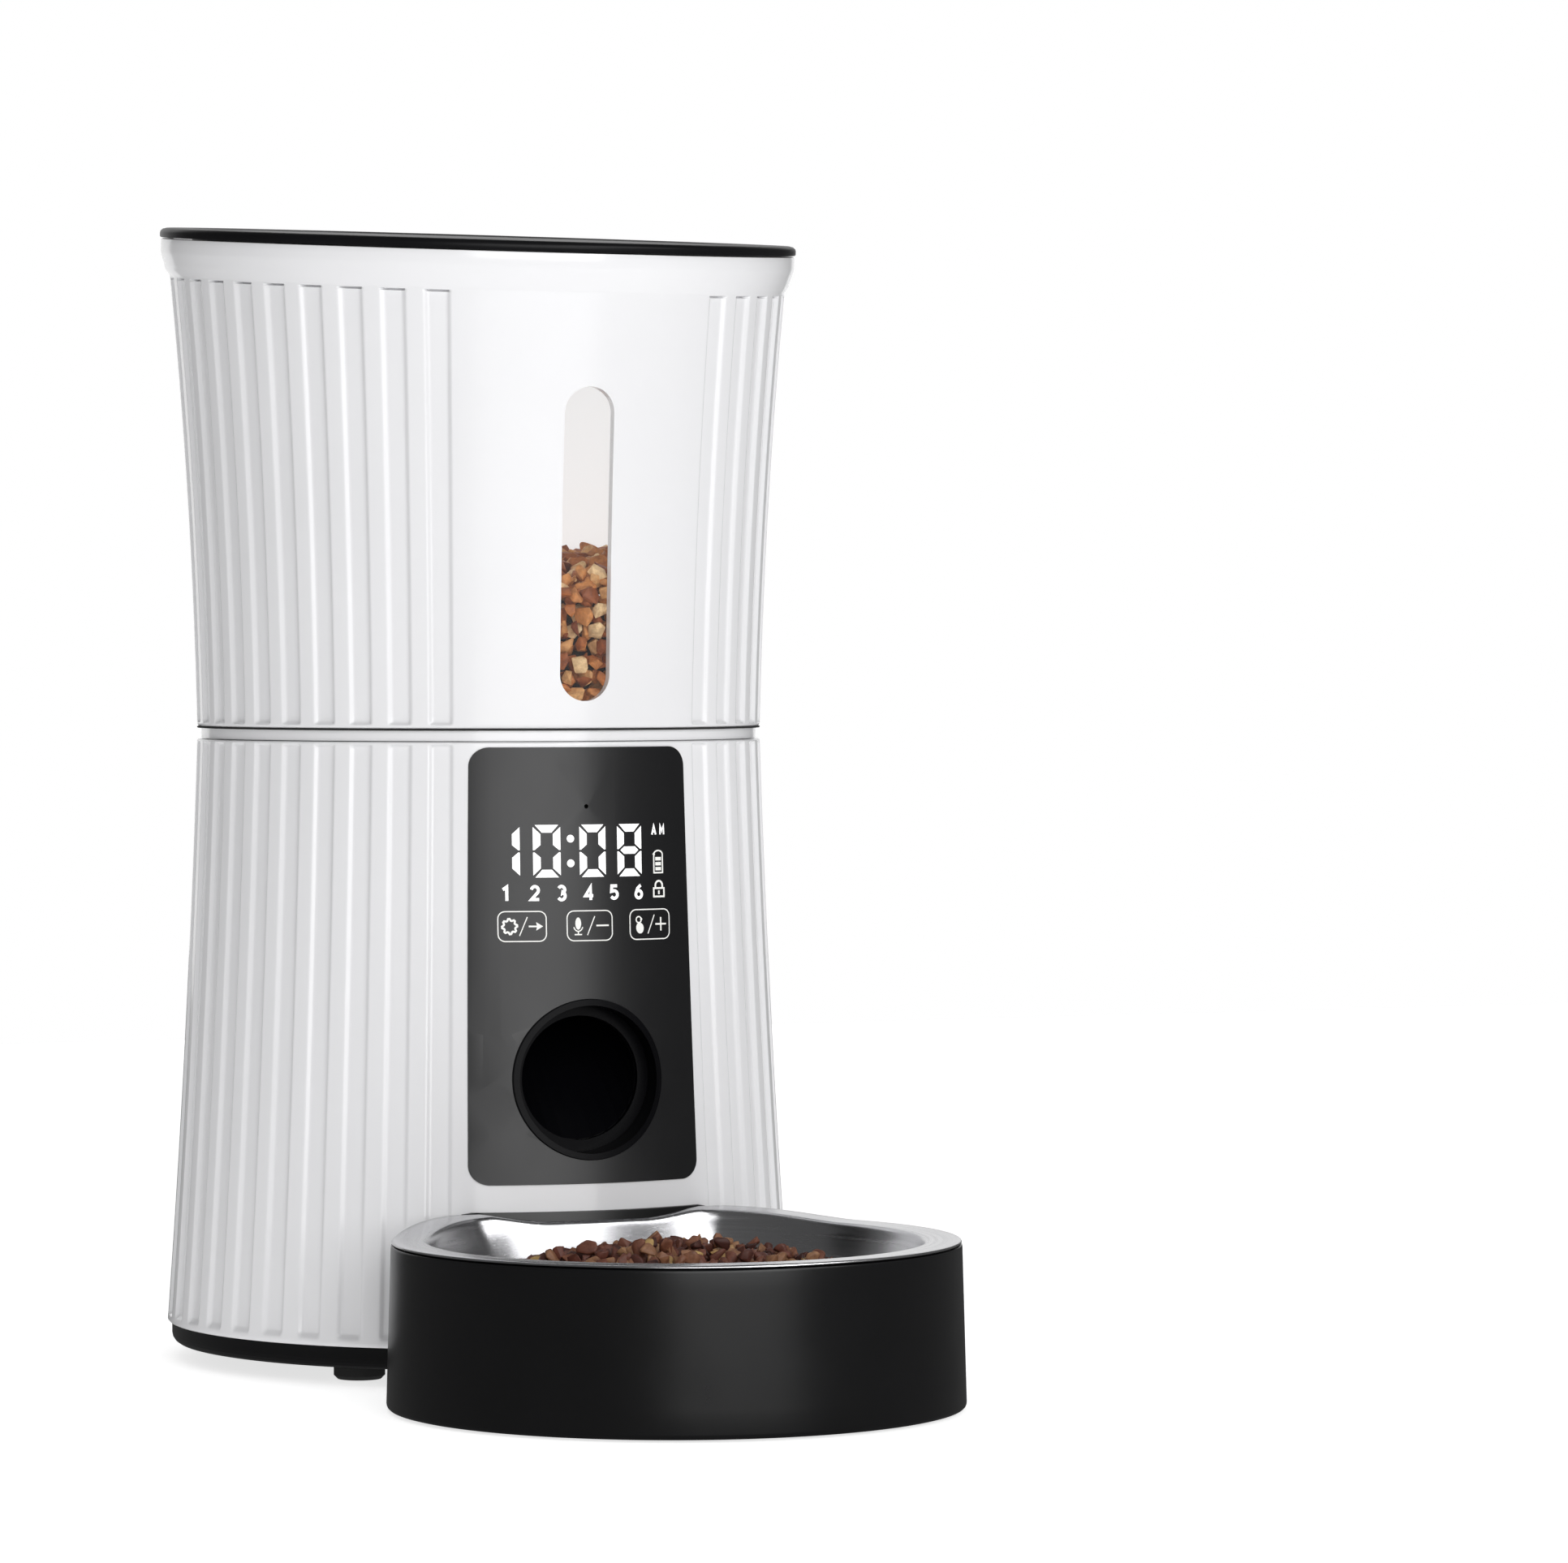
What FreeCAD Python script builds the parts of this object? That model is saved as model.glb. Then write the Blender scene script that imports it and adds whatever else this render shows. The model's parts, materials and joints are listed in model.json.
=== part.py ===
import FreeCAD, Part
import math
import os
from FreeCAD import Vector

os.makedirs("parts", exist_ok=True)

# Automatic pet feeder, in millimetres.
# Every piece is drawn with the barrel's axis on Z and the front towards -Y.
# save() then moves it back by BODY_Y, so that the origin is on the floor
# below the middle of the feeder and its bowl together.

# ---- barrel: two waisted halves, each one turned arc ----
BASE_RIM_TOP = 11.7      # black base up to here
LOWER_Z = (11.9, 198.1)  # white lower half
LOWER_R = (100.0, 94.2, 90.3)    # radius at its bottom, middle and top
UPPER_Z = (202.2, 345.6)         # white upper half, up to the start of the collar
UPPER_R = (90.3, 93.15, 98.7)
WALL = 3.0
NECK_R = 88.9            # recessed ring between the halves
NECK_Z = (198.4, 201.6)

# ---- lid plane, which slopes down to the front ----
LID_Z = 355.7
LID_TILT = 4.3           # degrees
LID_R = 101.9
LID_T = 3.1
COLLAR_R = 101.5

# ---- flutes ----
FLUTE_PITCH = 360.0 / 44
FLUTE_FIRST = 3.5 * FLUTE_PITCH      # the front between plus and minus this is smooth
FLUTE_COUNT = 38
FLUTE_WIDTH = 4.2        # degrees
FLUTE_DEPTH = 1.2
FLUTE_LOW_Z = (13.7, 196.6)
FLUTE_TOP_BELOW_LID = 12.3

# ---- control panel, outlet and window, all centred on the front ----
PANEL_ANGLE = 23.3       # half width, degrees
PANEL_Z = (62.0, 196.5)
PANEL_CORNER = 6.0
PANEL_SEAT = 1.5         # depth of its seat in the shell
PANEL_PROUD = 0.45
OUTLET_Z = 94.0
OUTLET_R = 24.8
OUTLET_INNER_R = 19.3
OUTLET_STEP_Y = -86.0
WINDOW_Z = (210.7, 307.6)
WINDOW_W = 16.5
MIC_Z = 178.2
DISPLAY_Z = (146.5, 175.0)
KEY_Z = 141.0
KEY_AZ = (-13.0, 0.4, 13.6)
DIGIT_X = (-22.3, -12.8, 2.1, 14.8)
MEAL_X = (-25.6, -16.7, -8.0, 0.8, 9.3, 18.1)
COLON_X = -5.3
SIGNS_X = (23.3, 28.0)

# ---- bowl ----
BOWL_Y = -163.0
HOLDER_R_TOP = 85.4
HOLDER_R_LOW = 86.8
HOLDER_Z = (0.5, 49.2)
RIM_SWEEP = 2.9          # the rim rises towards the barrel by this much
SWEEP_Y = (36.0, 74.0)   # behind the bowl's middle, from here to here
GUARD_TOP = 53.8
GUARD_T = 1.8
BODY_GAP = 0.6
BOWL_FLANGE_R = 85.2
BOWL_MOUTH_R = 74.6
BOWL_FLOOR_R = 62.0
BOWL_FLOOR_Z = 14.0
BOWL_SHEET = 0.9
FOOT_R = 8.0

# ---- food path ----
CHAMBER_R = 60.0
CHAMBER_Z = (138.0, 183.0)
CHAMBER_WALL = 2.2
CHAMBER_FLOOR = 2.5
DROP_Y = -40.0
DROP_R = 17.0
CONE_LOW = (55.5, 184.0)    # radius and height of the funnel's inner face
CONE_TOP = (85.5, 208.0)
CONE_T = 2.0
COVER_Z = (172.5, 174.5)
VANES = 6
VANE_R = 50.0
VANE_T = 2.4
VANE_Z = (141.3, 171.3)
WIPER_R = 59.2
LUG_ANGLES = (15.0, 165.0, 195.0, 345.0)

# ---- gear train: three equal steps of 42 to 12 ----------------------------------
MODULE = 0.8
WHEEL_TEETH = 42
PINION_TEETH = 12
CENTRE_STEP = MODULE * (WHEEL_TEETH + PINION_TEETH) / 2
BACKLASH = 0.07
PRESSURE_ANGLE = math.radians(20.0)
GEAR_FACE = 5.0
OUTPUT_XY = (0.0, 0.0)
IDLER_2_XY = (0.0, CENTRE_STEP)
IDLER_1_XY = (CENTRE_STEP * math.sin(math.radians(60)), CENTRE_STEP * 1.5)
MOTOR_XY = (
    IDLER_1_XY[0] + CENTRE_STEP * 0.5,
    IDLER_1_XY[1] - CENTRE_STEP * math.sin(math.radians(60)),
)
LEVEL_1 = 110.0          # underside of the wheel on idler 1
LEVEL_2 = 117.5
LEVEL_3 = 125.5
CASE_Z = (105.5, 134.5)
CASE_WALL = 2.0
COVER_PLATE = 2.2
SHAFT_R = 3.0
SHAFT_TOP = 160.0
AXLE_R = 1.5
RUNNING = 0.06           # radial running clearance
MOTOR_R = 12.2
MOTOR_LENGTH = 31.0
MOTOR_SHAFT_R = 1.0
MOTOR_SCREW_X = 5.9
CASE_EARS = ((-17.0, -13.5), (-19.0, 36.0), (41.5, 39.5), (31.5, 0.0))
EAR_R = 4.6

# ---- base and batteries ----
BASE_Z = (5.0, 9.0)
BASE_R = 98.6
BASE_ROUND = 3.0
DOOR_X = 54.0
DOOR_Y = 6.4
DOOR_Z = (5.0, 7.0)
CELL_D = 34.0            # bay for one D cell
BAY_Y = (8.0, 74.0)
BAY_TOP = 43.5
BOX_WALL = 2.0
SOCKET_Z = 26.0
FOOT_AZ = (49.0, 125.0)
FOOT_CENTRE_R = 80.0
BOSS_AZ = (33.0, 163.0)
BOSS_CENTRE_R = 85.0

# ---- electronics ----
BOARD_Y = (-77.2, -75.6)    # display board
MAIN_Y = (62.0, 63.6)
MAIN_HOLES = [(x, z) for x in (-34, 34) for z in (54, 100)]
SPEAKER_Z = 78.0
SPEAKER_PITCH = 5.5
SPEAKER_HOLE_R = 1.1
SPEAKER_BACK_Y = 79.0

BODY_Y = (-BOWL_Y + HOLDER_R_LOW - LID_R) / 2

AXIS = Vector(0, 0, 1)
ORIGIN = Vector(0, 0, 0)
FAR = 400.0


# ---- drawing helpers ----
def save(name, *solids):
    """Write one node, moved from the barrel's frame to the feeder's."""
    shape = solids[0] if len(solids) == 1 else Part.makeCompound(list(solids))
    shape = shape.copy()
    shape.translate(Vector(0, BODY_Y, 0))
    shape.exportStep("parts/" + name + ".step")


def cylinder(r, z0, z1, x=0.0, y=0.0):
    return Part.makeCylinder(r, z1 - z0, Vector(x, y, z0))


def tube(r_out, r_in, z0, z1, x=0.0, y=0.0):
    return cylinder(r_out, z0, z1, x, y).cut(cylinder(r_in, z0, z1, x, y))


def along_y(r, y0, y1, x=0.0, z=0.0):
    """A cylinder lying along Y."""
    return Part.makeCylinder(r, y1 - y0, Vector(x, y0, z), Vector(0, 1, 0))


def block(x0, x1, y0, y1, z0, z1):
    return Part.makeBox(x1 - x0, y1 - y0, z1 - z0, Vector(x0, y0, z0))


def around(az, r):
    """The point at an azimuth from the front, positive towards +X."""
    return r * math.sin(math.radians(az)), -r * math.cos(math.radians(az))


def turned(points, angle=360.0):
    """A closed outline of (radius, height) points, turned about Z."""
    corners = [Vector(r, 0, z) for r, z in points]
    face = Part.Face(Part.makePolygon(corners + corners[:1]))
    return face.revolve(ORIGIN, AXIS, angle)


def arc_radius(heights, radii, z, offset):
    """Radius at height z of the arc through a half's bottom, middle and top."""
    z0, z2 = heights
    z1 = (z0 + z2) / 2
    r0, r1, r2 = radii
    d1, d2 = z1 - z0, z2 - z0
    k1 = (d1 * d1 + r1 * r1 - r0 * r0) / 2
    k2 = (d2 * d2 + r2 * r2 - r0 * r0) / 2
    det = d1 * (r2 - r0) - d2 * (r1 - r0)
    zc = (k1 * (r2 - r0) - k2 * (r1 - r0)) / det
    rc = (d1 * k2 - d2 * k1) / det
    rho = math.hypot(r0 - rc, -zc) - offset
    return rc - math.sqrt(rho * rho - (z - z0 - zc) ** 2)


def lower_r(z, offset=0.0):
    return arc_radius(LOWER_Z, LOWER_R, z, offset)


def upper_r(z, offset=0.0):
    return arc_radius(UPPER_Z, UPPER_R, z, offset)


def barrel(radius, z0, z1, offset, inner=None, angle=360.0):
    """The solid inside a half's surface, or the layer between two offsets of it."""
    def arc(shift):
        spots = [Vector(radius(z, shift), 0, z) for z in (z0, (z0 + z1) / 2, z1)]
        return Part.Arc(*spots).toShape()

    outer = arc(offset)
    bottom, top = outer.Vertexes[0].Point, outer.Vertexes[-1].Point
    if inner is None:
        back = [Part.makeLine(top, Vector(0, 0, z1)),
                Part.makeLine(Vector(0, 0, z1), Vector(0, 0, z0)),
                Part.makeLine(Vector(0, 0, z0), bottom)]
    else:
        skin = arc(inner)
        low, high = skin.Vertexes[0].Point, skin.Vertexes[-1].Point
        back = [Part.makeLine(top, high), skin, Part.makeLine(low, bottom)]
    wire = Part.Wire(Part.__sortEdges__([outer] + back))
    return Part.Face(wire).revolve(ORIGIN, AXIS, angle)


def turn(shape, degrees, centre=ORIGIN):
    shape = shape.copy()
    shape.rotate(centre, AXIS, degrees)
    return shape


def rounded_outline(corners, radius):
    """A closed wire through (x, z) corners in the XZ plane, each corner rounded."""
    points = [Vector(x, 0, z) for x, z in corners]
    edges, ends = [], []
    for i, corner in enumerate(points):
        before = (points[i - 1] - corner).normalize()
        after = (points[(i + 1) % len(points)] - corner).normalize()
        half = before.getAngle(after) / 2
        reach = radius / math.tan(half)
        inward = (before + after).normalize()
        middle = corner + inward * (radius / math.sin(half) - radius)
        start, end = corner + before * reach, corner + after * reach
        edges.append(Part.Arc(start, middle, end).toShape())
        ends.append((start, end))
    for i in range(len(points)):
        edges.append(Part.makeLine(ends[i][1], ends[(i + 1) % len(points)][0]))
    return Part.Wire(Part.__sortEdges__(edges))


def through_front(wire):
    """A prism of an XZ outline, through the front half of the barrel."""
    return Part.Face(wire).extrude(Vector(0, -2 * LID_R, 0))


def panel_outline(shrink=0.0):
    width = math.sin(math.radians(PANEL_ANGLE))
    low = lower_r(PANEL_Z[0]) * width - shrink
    high = lower_r(PANEL_Z[1]) * width - shrink
    z0, z1 = PANEL_Z[0] + shrink, PANEL_Z[1] - shrink
    return rounded_outline([(-low, z0), (low, z0), (high, z1), (-high, z1)], PANEL_CORNER)


def window_outline(grow=0.0):
    half = WINDOW_W / 2 + grow
    z0, z1 = WINDOW_Z[0] - grow, WINDOW_Z[1] + grow
    corners = [(-half, z0), (half, z0), (half, z1), (-half, z1)]
    return rounded_outline(corners, half - 0.3)


def tilt(shape):
    """Move a shape from the lid's own frame to its place on the barrel."""
    shape = shape.copy()
    shape.rotate(ORIGIN, Vector(1, 0, 0), LID_TILT)
    shape.translate(Vector(0, 0, LID_Z))
    return shape


def below_lid(drop):
    """Everything under a plane parallel to the lid's seat."""
    return tilt(block(-FAR, FAR, -FAR, FAR, -FAR, -drop))


def flutes(radius, z0, z1):
    layer = barrel(radius, z0, z1, 3.0, -FLUTE_DEPTH, FLUTE_WIDTH)
    layer = turn(layer, -FLUTE_WIDTH / 2 - 90 + FLUTE_FIRST)
    return [turn(layer, i * FLUTE_PITCH) for i in range(FLUTE_COUNT)]


def screw(r_head, head, r_shank, length, x, y, z, down=True):
    """A pan-head screw whose head's seat is at z."""
    sign = 1 if down else -1
    direction = Vector(0, 0, sign)
    seat = Vector(x, y, z)
    top = Part.makeCylinder(r_head, head, seat, direction)
    slot_deep = head * 0.5
    slot = Part.makeBox(r_head * 1.3, 0.7, slot_deep,
                        Vector(-r_head * 0.65, -0.35, head - slot_deep))
    cross = slot.fuse(turn(slot, 90))
    if not down:
        cross.rotate(ORIGIN, Vector(1, 0, 0), 180)
    cross.translate(seat)
    shank = Part.makeCylinder(r_shank, length, seat, direction * -1)
    return top.cut(cross).fuse(shank).removeSplitter()


def gear(teeth, z0, z1, centre, first_tooth, addendum):
    """A spur gear with involute flanks; first_tooth is the direction of one tooth."""
    pitch = MODULE * teeth / 2
    base = pitch * math.cos(PRESSURE_ANGLE)
    root = pitch - 1.25 * MODULE
    tip = pitch + addendum * MODULE
    involute = math.tan(PRESSURE_ANGLE) - PRESSURE_ANGLE
    half_tooth = math.pi / (2 * teeth) - BACKLASH / pitch + involute

    def flank(r):
        ratio = min(1.0, base / r)
        return half_tooth - (math.tan(math.acos(ratio)) - math.acos(ratio))

    steps = [max(base, root) + (tip - max(base, root)) * i / 4 for i in range(5)]
    side = [(root, half_tooth)] + [(r, flank(r)) for r in steps]
    points = []
    for i in range(teeth):
        middle = math.radians(first_tooth) + 2 * math.pi * i / teeth
        for r, a in side:
            points.append((r, middle - a))
        for r, a in reversed(side):
            points.append((r, middle + a))
    corners = [Vector(centre[0] + r * math.cos(a), centre[1] + r * math.sin(a), z0)
               for r, a in points]
    face = Part.Face(Part.makePolygon(corners + corners[:1]))
    return face.extrude(Vector(0, 0, z1 - z0))


def heading(start, end):
    return math.degrees(math.atan2(end[1] - start[1], end[0] - start[0]))


# ---- lid ----
def make_lid():
    plate = turned([(0, 0.3), (LID_R, 0.3), (LID_R, 1.9), (LID_R - 0.5, 2.9),
                    (LID_R - 1.6, LID_T + 0.3), (LID_R - 9, LID_T + 0.3),
                    (LID_R - 10.5, LID_T - 0.5), (0, LID_T - 0.5)])
    skirt = tube(91.6, 89.4, -8.0, 0.3)
    lip = tube(93.2, 91.6, -8.0, -6.6)
    tray_seat = tube(34.0, 31.4, -3.0, 0.3)
    save("lid", tilt(plate.fuse([skirt, lip, tray_seat]).removeSplitter()))


def make_lid_seal():
    ring = tube(93.6, 91.7, -4.4, -1.0)
    fin = turned([(93.6, -3.6), (95.2, -2.6), (95.2, -2.2), (93.6, -2.4)])
    save("lid_seal", tilt(ring.fuse(fin).removeSplitter()))


def make_desiccant_tray():
    cup = tube(31.2, 29.4, -15.0, 0.1).fuse(cylinder(31.2, -1.5, 0.1))
    lug = block(29.2, 31.2, -3, 3, -14.9, -13.2)
    groove = tube(30.4, 29.0, -15.0, -12.4)
    save("desiccant_tray", tilt(cup.fuse(lug).cut(groove).removeSplitter()))


def make_desiccant_cap():
    disc = cylinder(31.2, -17.2, -15.3).fuse(tube(30.1, 28.3, -15.3, -12.9))
    slots = [turn(block(8.0, 25.0, -1.2, 1.2, -18, -15), i * 30) for i in range(12)]
    grip = block(-7.5, 7.5, -1.2, 1.2, -20.2, -17.2)
    save("desiccant_cap", tilt(disc.cut(Part.makeCompound(slots)).fuse(grip)))


# ---- hopper ----
def make_hopper_shell():
    top = LID_Z + 12
    outer = barrel(upper_r, UPPER_Z[0], top, 0.0).common(below_lid(0))
    collar = tilt(turned([(0, 0), (COLLAR_R, 0), (COLLAR_R, -3.9), (COLLAR_R - 0.6, -5.4),
                          (98.0, -11.0), (0, -11.0)]))
    cuts = Part.makeCompound(flutes(upper_r, UPPER_Z[0] + 1.2, top))
    cuts = cuts.common(below_lid(FLUTE_TOP_BELOW_LID))
    hollow = barrel(upper_r, UPPER_Z[0] - 1, top + 1, -WALL)
    shell = outer.cut(cuts).fuse(collar).cut(hollow)
    glass_hole = through_front(window_outline())
    save("hopper_shell", shell.cut(glass_hole).removeSplitter())


def make_hopper_window():
    z0, z1 = WINDOW_Z[0] - 6, WINDOW_Z[1] + 6
    pane = barrel(upper_r, z0, z1, -0.35, -WALL - 0.05).common(
        through_front(window_outline(-0.1)))
    flange = barrel(upper_r, z0, z1, -WALL - 0.05, -WALL - 1.8).common(
        through_front(window_outline(2.2)))
    save("hopper_window", pane.fuse(flange).removeSplitter())


def make_hopper_funnel():
    rise = CONE_T * math.hypot(CONE_TOP[0] - CONE_LOW[0], CONE_TOP[1] - CONE_LOW[1])
    rise = rise / (CONE_TOP[0] - CONE_LOW[0])
    rim_r = upper_r(UPPER_Z[0], -WALL) - 0.1
    spigot_low = COVER_Z[1] + 1.0
    funnel = turned([
        (CONE_LOW[0], spigot_low), CONE_LOW, CONE_TOP, (rim_r - 0.4, CONE_TOP[1]),
        (rim_r, CONE_TOP[1] - 0.4), (rim_r, CONE_TOP[1] - 4.0),
        (CONE_TOP[0] - 1.0, CONE_TOP[1] - rise - 0.8),
        (CONE_LOW[0] + CONE_T, CONE_LOW[1] - rise + 1.6),
        (CONE_LOW[0] + CONE_T, spigot_low)])
    save("hopper_funnel", funnel)


# ---- rotor ----
def vane_angles():
    return [i * 360.0 / VANES for i in range(VANES)]


def make_rotor():
    hub = cylinder(11.0, VANE_Z[0], VANE_Z[1]).fuse(cylinder(7.0, VANE_Z[1], 177.0))
    blade = block(10.0, VANE_R, -VANE_T / 2, VANE_T / 2, VANE_Z[0], VANE_Z[1])
    cone = turned([(11, VANE_Z[0]), (26, VANE_Z[0]), (11, VANE_Z[0] + 9)])
    rotor = hub.fuse([turn(blade, a) for a in vane_angles()]).fuse(cone)
    socket = cylinder(SHAFT_R + 0.03, 136.0, SHAFT_TOP + 0.03)
    save("rotor_wheel", rotor.cut(socket).removeSplitter())


def make_wipers():
    flap = block(VANE_R, WIPER_R, -0.8, 0.8, VANE_Z[0] + 0.4, VANE_Z[1] - 0.4)
    save("rotor_wipers", *[turn(flap, a) for a in vane_angles()])


def make_stirrer():
    cap = cylinder(9.0, 177.0, 184.0)
    arm = block(0, 40.0, -2.0, 2.0, 178.0, 181.5)
    finger = cylinder(2.0, 178.0, 196.0, 38.0)
    spoke = arm.fuse(finger)
    save("stirrer", cap.fuse([spoke, turn(spoke, 180)]).removeSplitter())


# ---- food chamber and chute ----
def make_chamber():
    wall_r = CHAMBER_R + CHAMBER_WALL
    cup = cylinder(wall_r, CHAMBER_Z[0], CHAMBER_Z[1])
    cup = cup.cut(cylinder(CHAMBER_R, CHAMBER_Z[0] + CHAMBER_FLOOR, CHAMBER_Z[1]))
    lugs = [turn(block(wall_r - 1, wall_r + 7, -4, 4, 178.0, 182.5), a) for a in LUG_ANGLES]
    cup = cup.fuse(lugs)
    holes = [cylinder(DROP_R, 130, 145, 0, DROP_Y), cylinder(6.2, 130, 145)]
    screws = [cylinder(1.3, 170, 190, *lug_spot(a)) for a in LUG_ANGLES]
    save("food_chamber", cup.cut(holes + screws).removeSplitter())



def lug_spot(angle):
    r = CHAMBER_R + CHAMBER_WALL + 3.6
    return r * math.cos(math.radians(angle)), r * math.sin(math.radians(angle))


def make_chamber_cover():
    disc = cylinder(CHAMBER_R - 0.1, COVER_Z[0], COVER_Z[1]).cut(cylinder(8.2, 170, 180))
    gap = Part.makeCylinder(54.0, 10, Vector(0, 0, 170), AXIS, 200)
    gap = turn(gap, -10).cut(cylinder(13.0, 165, 185))
    save("chamber_cover", disc.cut(gap))


def ring_points(centre, u, v, r, count=24):
    return [centre + u * (r * math.cos(2 * math.pi * i / count))
            + v * (r * math.sin(2 * math.pi * i / count)) for i in range(count)]


def chute_solid(grow):
    """A skewed tube: round under the chamber, round and upright at the outlet."""
    x = Vector(1, 0, 0)
    top = ring_points(Vector(0, DROP_Y, CHAMBER_Z[0] - 0.1), x, Vector(0, 1, 0), DROP_R + grow)
    front = ring_points(Vector(0, OUTLET_STEP_Y + 2.1, OUTLET_Z), x, Vector(0, 0, -1),
                        OUTLET_INNER_R + grow)
    wires = [Part.makePolygon(p + p[:1]) for p in (top, front)]
    return Part.makeLoft(wires, True, True)


def make_chute():
    save("food_chute", chute_solid(2.0).cut(chute_solid(0.0)))


def make_outlet_ring():
    length = (-110.0, OUTLET_STEP_Y)
    ring = along_y(OUTLET_R - 0.2, *length, z=OUTLET_Z).cut(
        along_y(OUTLET_R - 2.0, *length, z=OUTLET_Z))
    face = barrel(lower_r, OUTLET_Z - 40, OUTLET_Z + 40, 1.2)
    step = along_y(OUTLET_R - 0.2, OUTLET_STEP_Y, OUTLET_STEP_Y + 2.0, z=OUTLET_Z).cut(
        along_y(OUTLET_INNER_R, OUTLET_STEP_Y, OUTLET_STEP_Y + 2.0, z=OUTLET_Z))
    save("outlet_ring", ring.common(face).fuse(step).removeSplitter())


# ---- lower half: shell, deck, panel ----
def boss_spots():
    return [around(sign * az, BOSS_CENTRE_R) for az in BOSS_AZ for sign in (-1, 1)]


def make_lower_shell():
    outer = barrel(lower_r, LOWER_Z[0], LOWER_Z[1], 0.0)
    hollow = barrel(lower_r, LOWER_Z[0] - 1, LOWER_Z[1] + 1, -WALL)
    seat = barrel(lower_r, PANEL_Z[0] - 6, LOWER_Z[1] + 2, 4.0, -PANEL_SEAT).common(
        through_front(panel_outline(-0.15)))
    shell = outer.cut(hollow).cut(flutes(lower_r, *FLUTE_LOW_Z)).cut(seat)
    bosses = []
    for x, y in boss_spots():
        pillar = cylinder(4.2, 16.5, 40, x, y)
        az = math.degrees(math.atan2(x, -y))
        rib = block(-1.2, 1.2, -BOSS_CENTRE_R - 14, -BOSS_CENTRE_R, 20, 38)
        rib = turn(rib, az).common(barrel(lower_r, 18, 40, -WALL + 0.5))
        bosses.append(pillar.fuse(rib).cut(cylinder(1.4, 16, 36, x, y)))
    shell = shell.fuse(bosses)
    windows = [
        block(-30, 34, -110, -70, DISPLAY_Z[0], DISPLAY_Z[1]),
        along_y(OUTLET_R - 0.1, -110, -70, z=OUTLET_Z),
        along_y(1.6, -110, -70, z=MIC_Z),
        socket_prism(0.3, 80, 110),
    ]
    windows += [along_y(5.4, -110, -70, around(az, lower_r(KEY_Z))[0], KEY_Z) for az in KEY_AZ]
    windows += [along_y(SPEAKER_HOLE_R, 70, 110, x, z) for x, z in speaker_holes()]
    save("lower_shell", shell.cut(windows).removeSplitter())



def speaker_holes():
    spots = [(0.0, SPEAKER_Z)]
    for ring in (1, 2):
        for i in range(6 * ring):
            a = 2 * math.pi * i / (6 * ring)
            r = SPEAKER_PITCH * ring
            spots.append((r * math.cos(a), SPEAKER_Z + r * math.sin(a)))
    return spots


def socket_prism(grow, y0, y1):
    """The rounded slot of a small reversible power connector."""
    half, round_r = 4.5 + grow, 1.65 + grow
    ends = [along_y(round_r, y0, y1, s * (half - round_r), SOCKET_Z) for s in (-1, 1)]
    middle = block(-(half - round_r), half - round_r, y0, y1,
                   SOCKET_Z - round_r, SOCKET_Z + round_r)
    return middle.fuse(ends)


def make_power_socket():
    body = block(-6, 6, 82, 93.5, SOCKET_Z - 3.5, SOCKET_Z + 3.5)
    tongue = block(-3.3, 3.3, 84, 92.5, SOCKET_Z - 0.35, SOCKET_Z + 0.35)
    save("power_socket", body.cut(socket_prism(0.0, 84, 94)).fuse(tongue))


def make_deck():
    slope = (CONE_TOP[1] - CONE_LOW[1]) / (CONE_TOP[0] - CONE_LOW[0])
    drop = math.hypot(1.0, slope)

    def under(r, gap):
        return CONE_LOW[1] - (CONE_T + gap) * drop + slope * (r - CONE_LOW[0])

    def reach(z, gap):
        return CONE_LOW[0] + (z - CONE_LOW[1] + (CONE_T + gap) * drop) / slope

    inner_r = CHAMBER_R + CHAMBER_WALL + 0.2
    deck = turned([
        (inner_r, under(inner_r, 0.6)), (reach(NECK_Z[1], 0.6), NECK_Z[1]), (NECK_R, NECK_Z[1]),
        (NECK_R, NECK_Z[0]), (87.0, NECK_Z[0]), (87.0, 193.0), (85.2, 193.0), (85.2, NECK_Z[0]),
        (reach(NECK_Z[0], 2.8), NECK_Z[0]), (inner_r + 9, under(inner_r + 9, 2.8)),
        (inner_r + 9, 183.0), (inner_r, 183.0)])
    holes = [cylinder(1.3, 180, 187, *lug_spot(a)) for a in LUG_ANGLES]
    save("top_deck", deck.cut(holes))


def make_control_panel():
    plate = barrel(lower_r, PANEL_Z[0] - 6, LOWER_Z[1], PANEL_PROUD, -PANEL_SEAT + 0.05)
    plate = plate.common(through_front(panel_outline()))
    holes = [along_y(OUTLET_R - 0.1, -110, -70, z=OUTLET_Z), along_y(0.6, -110, -70, z=MIC_Z)]
    save("control_panel", plate.cut(holes))


# ---- gearbox ----
def make_output_gear():
    z0 = LEVEL_3
    wheel = gear(WHEEL_TEETH, z0, z0 + GEAR_FACE, OUTPUT_XY, heading(OUTPUT_XY, IDLER_2_XY), 0.8)
    shaft = cylinder(SHAFT_R, CASE_Z[0] + 0.5, SHAFT_TOP)
    collar = cylinder(6.0, z0 + GEAR_FACE, z0 + GEAR_FACE + 2.5)
    save("output_gear", wheel.fuse([shaft, collar]).removeSplitter())


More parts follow.
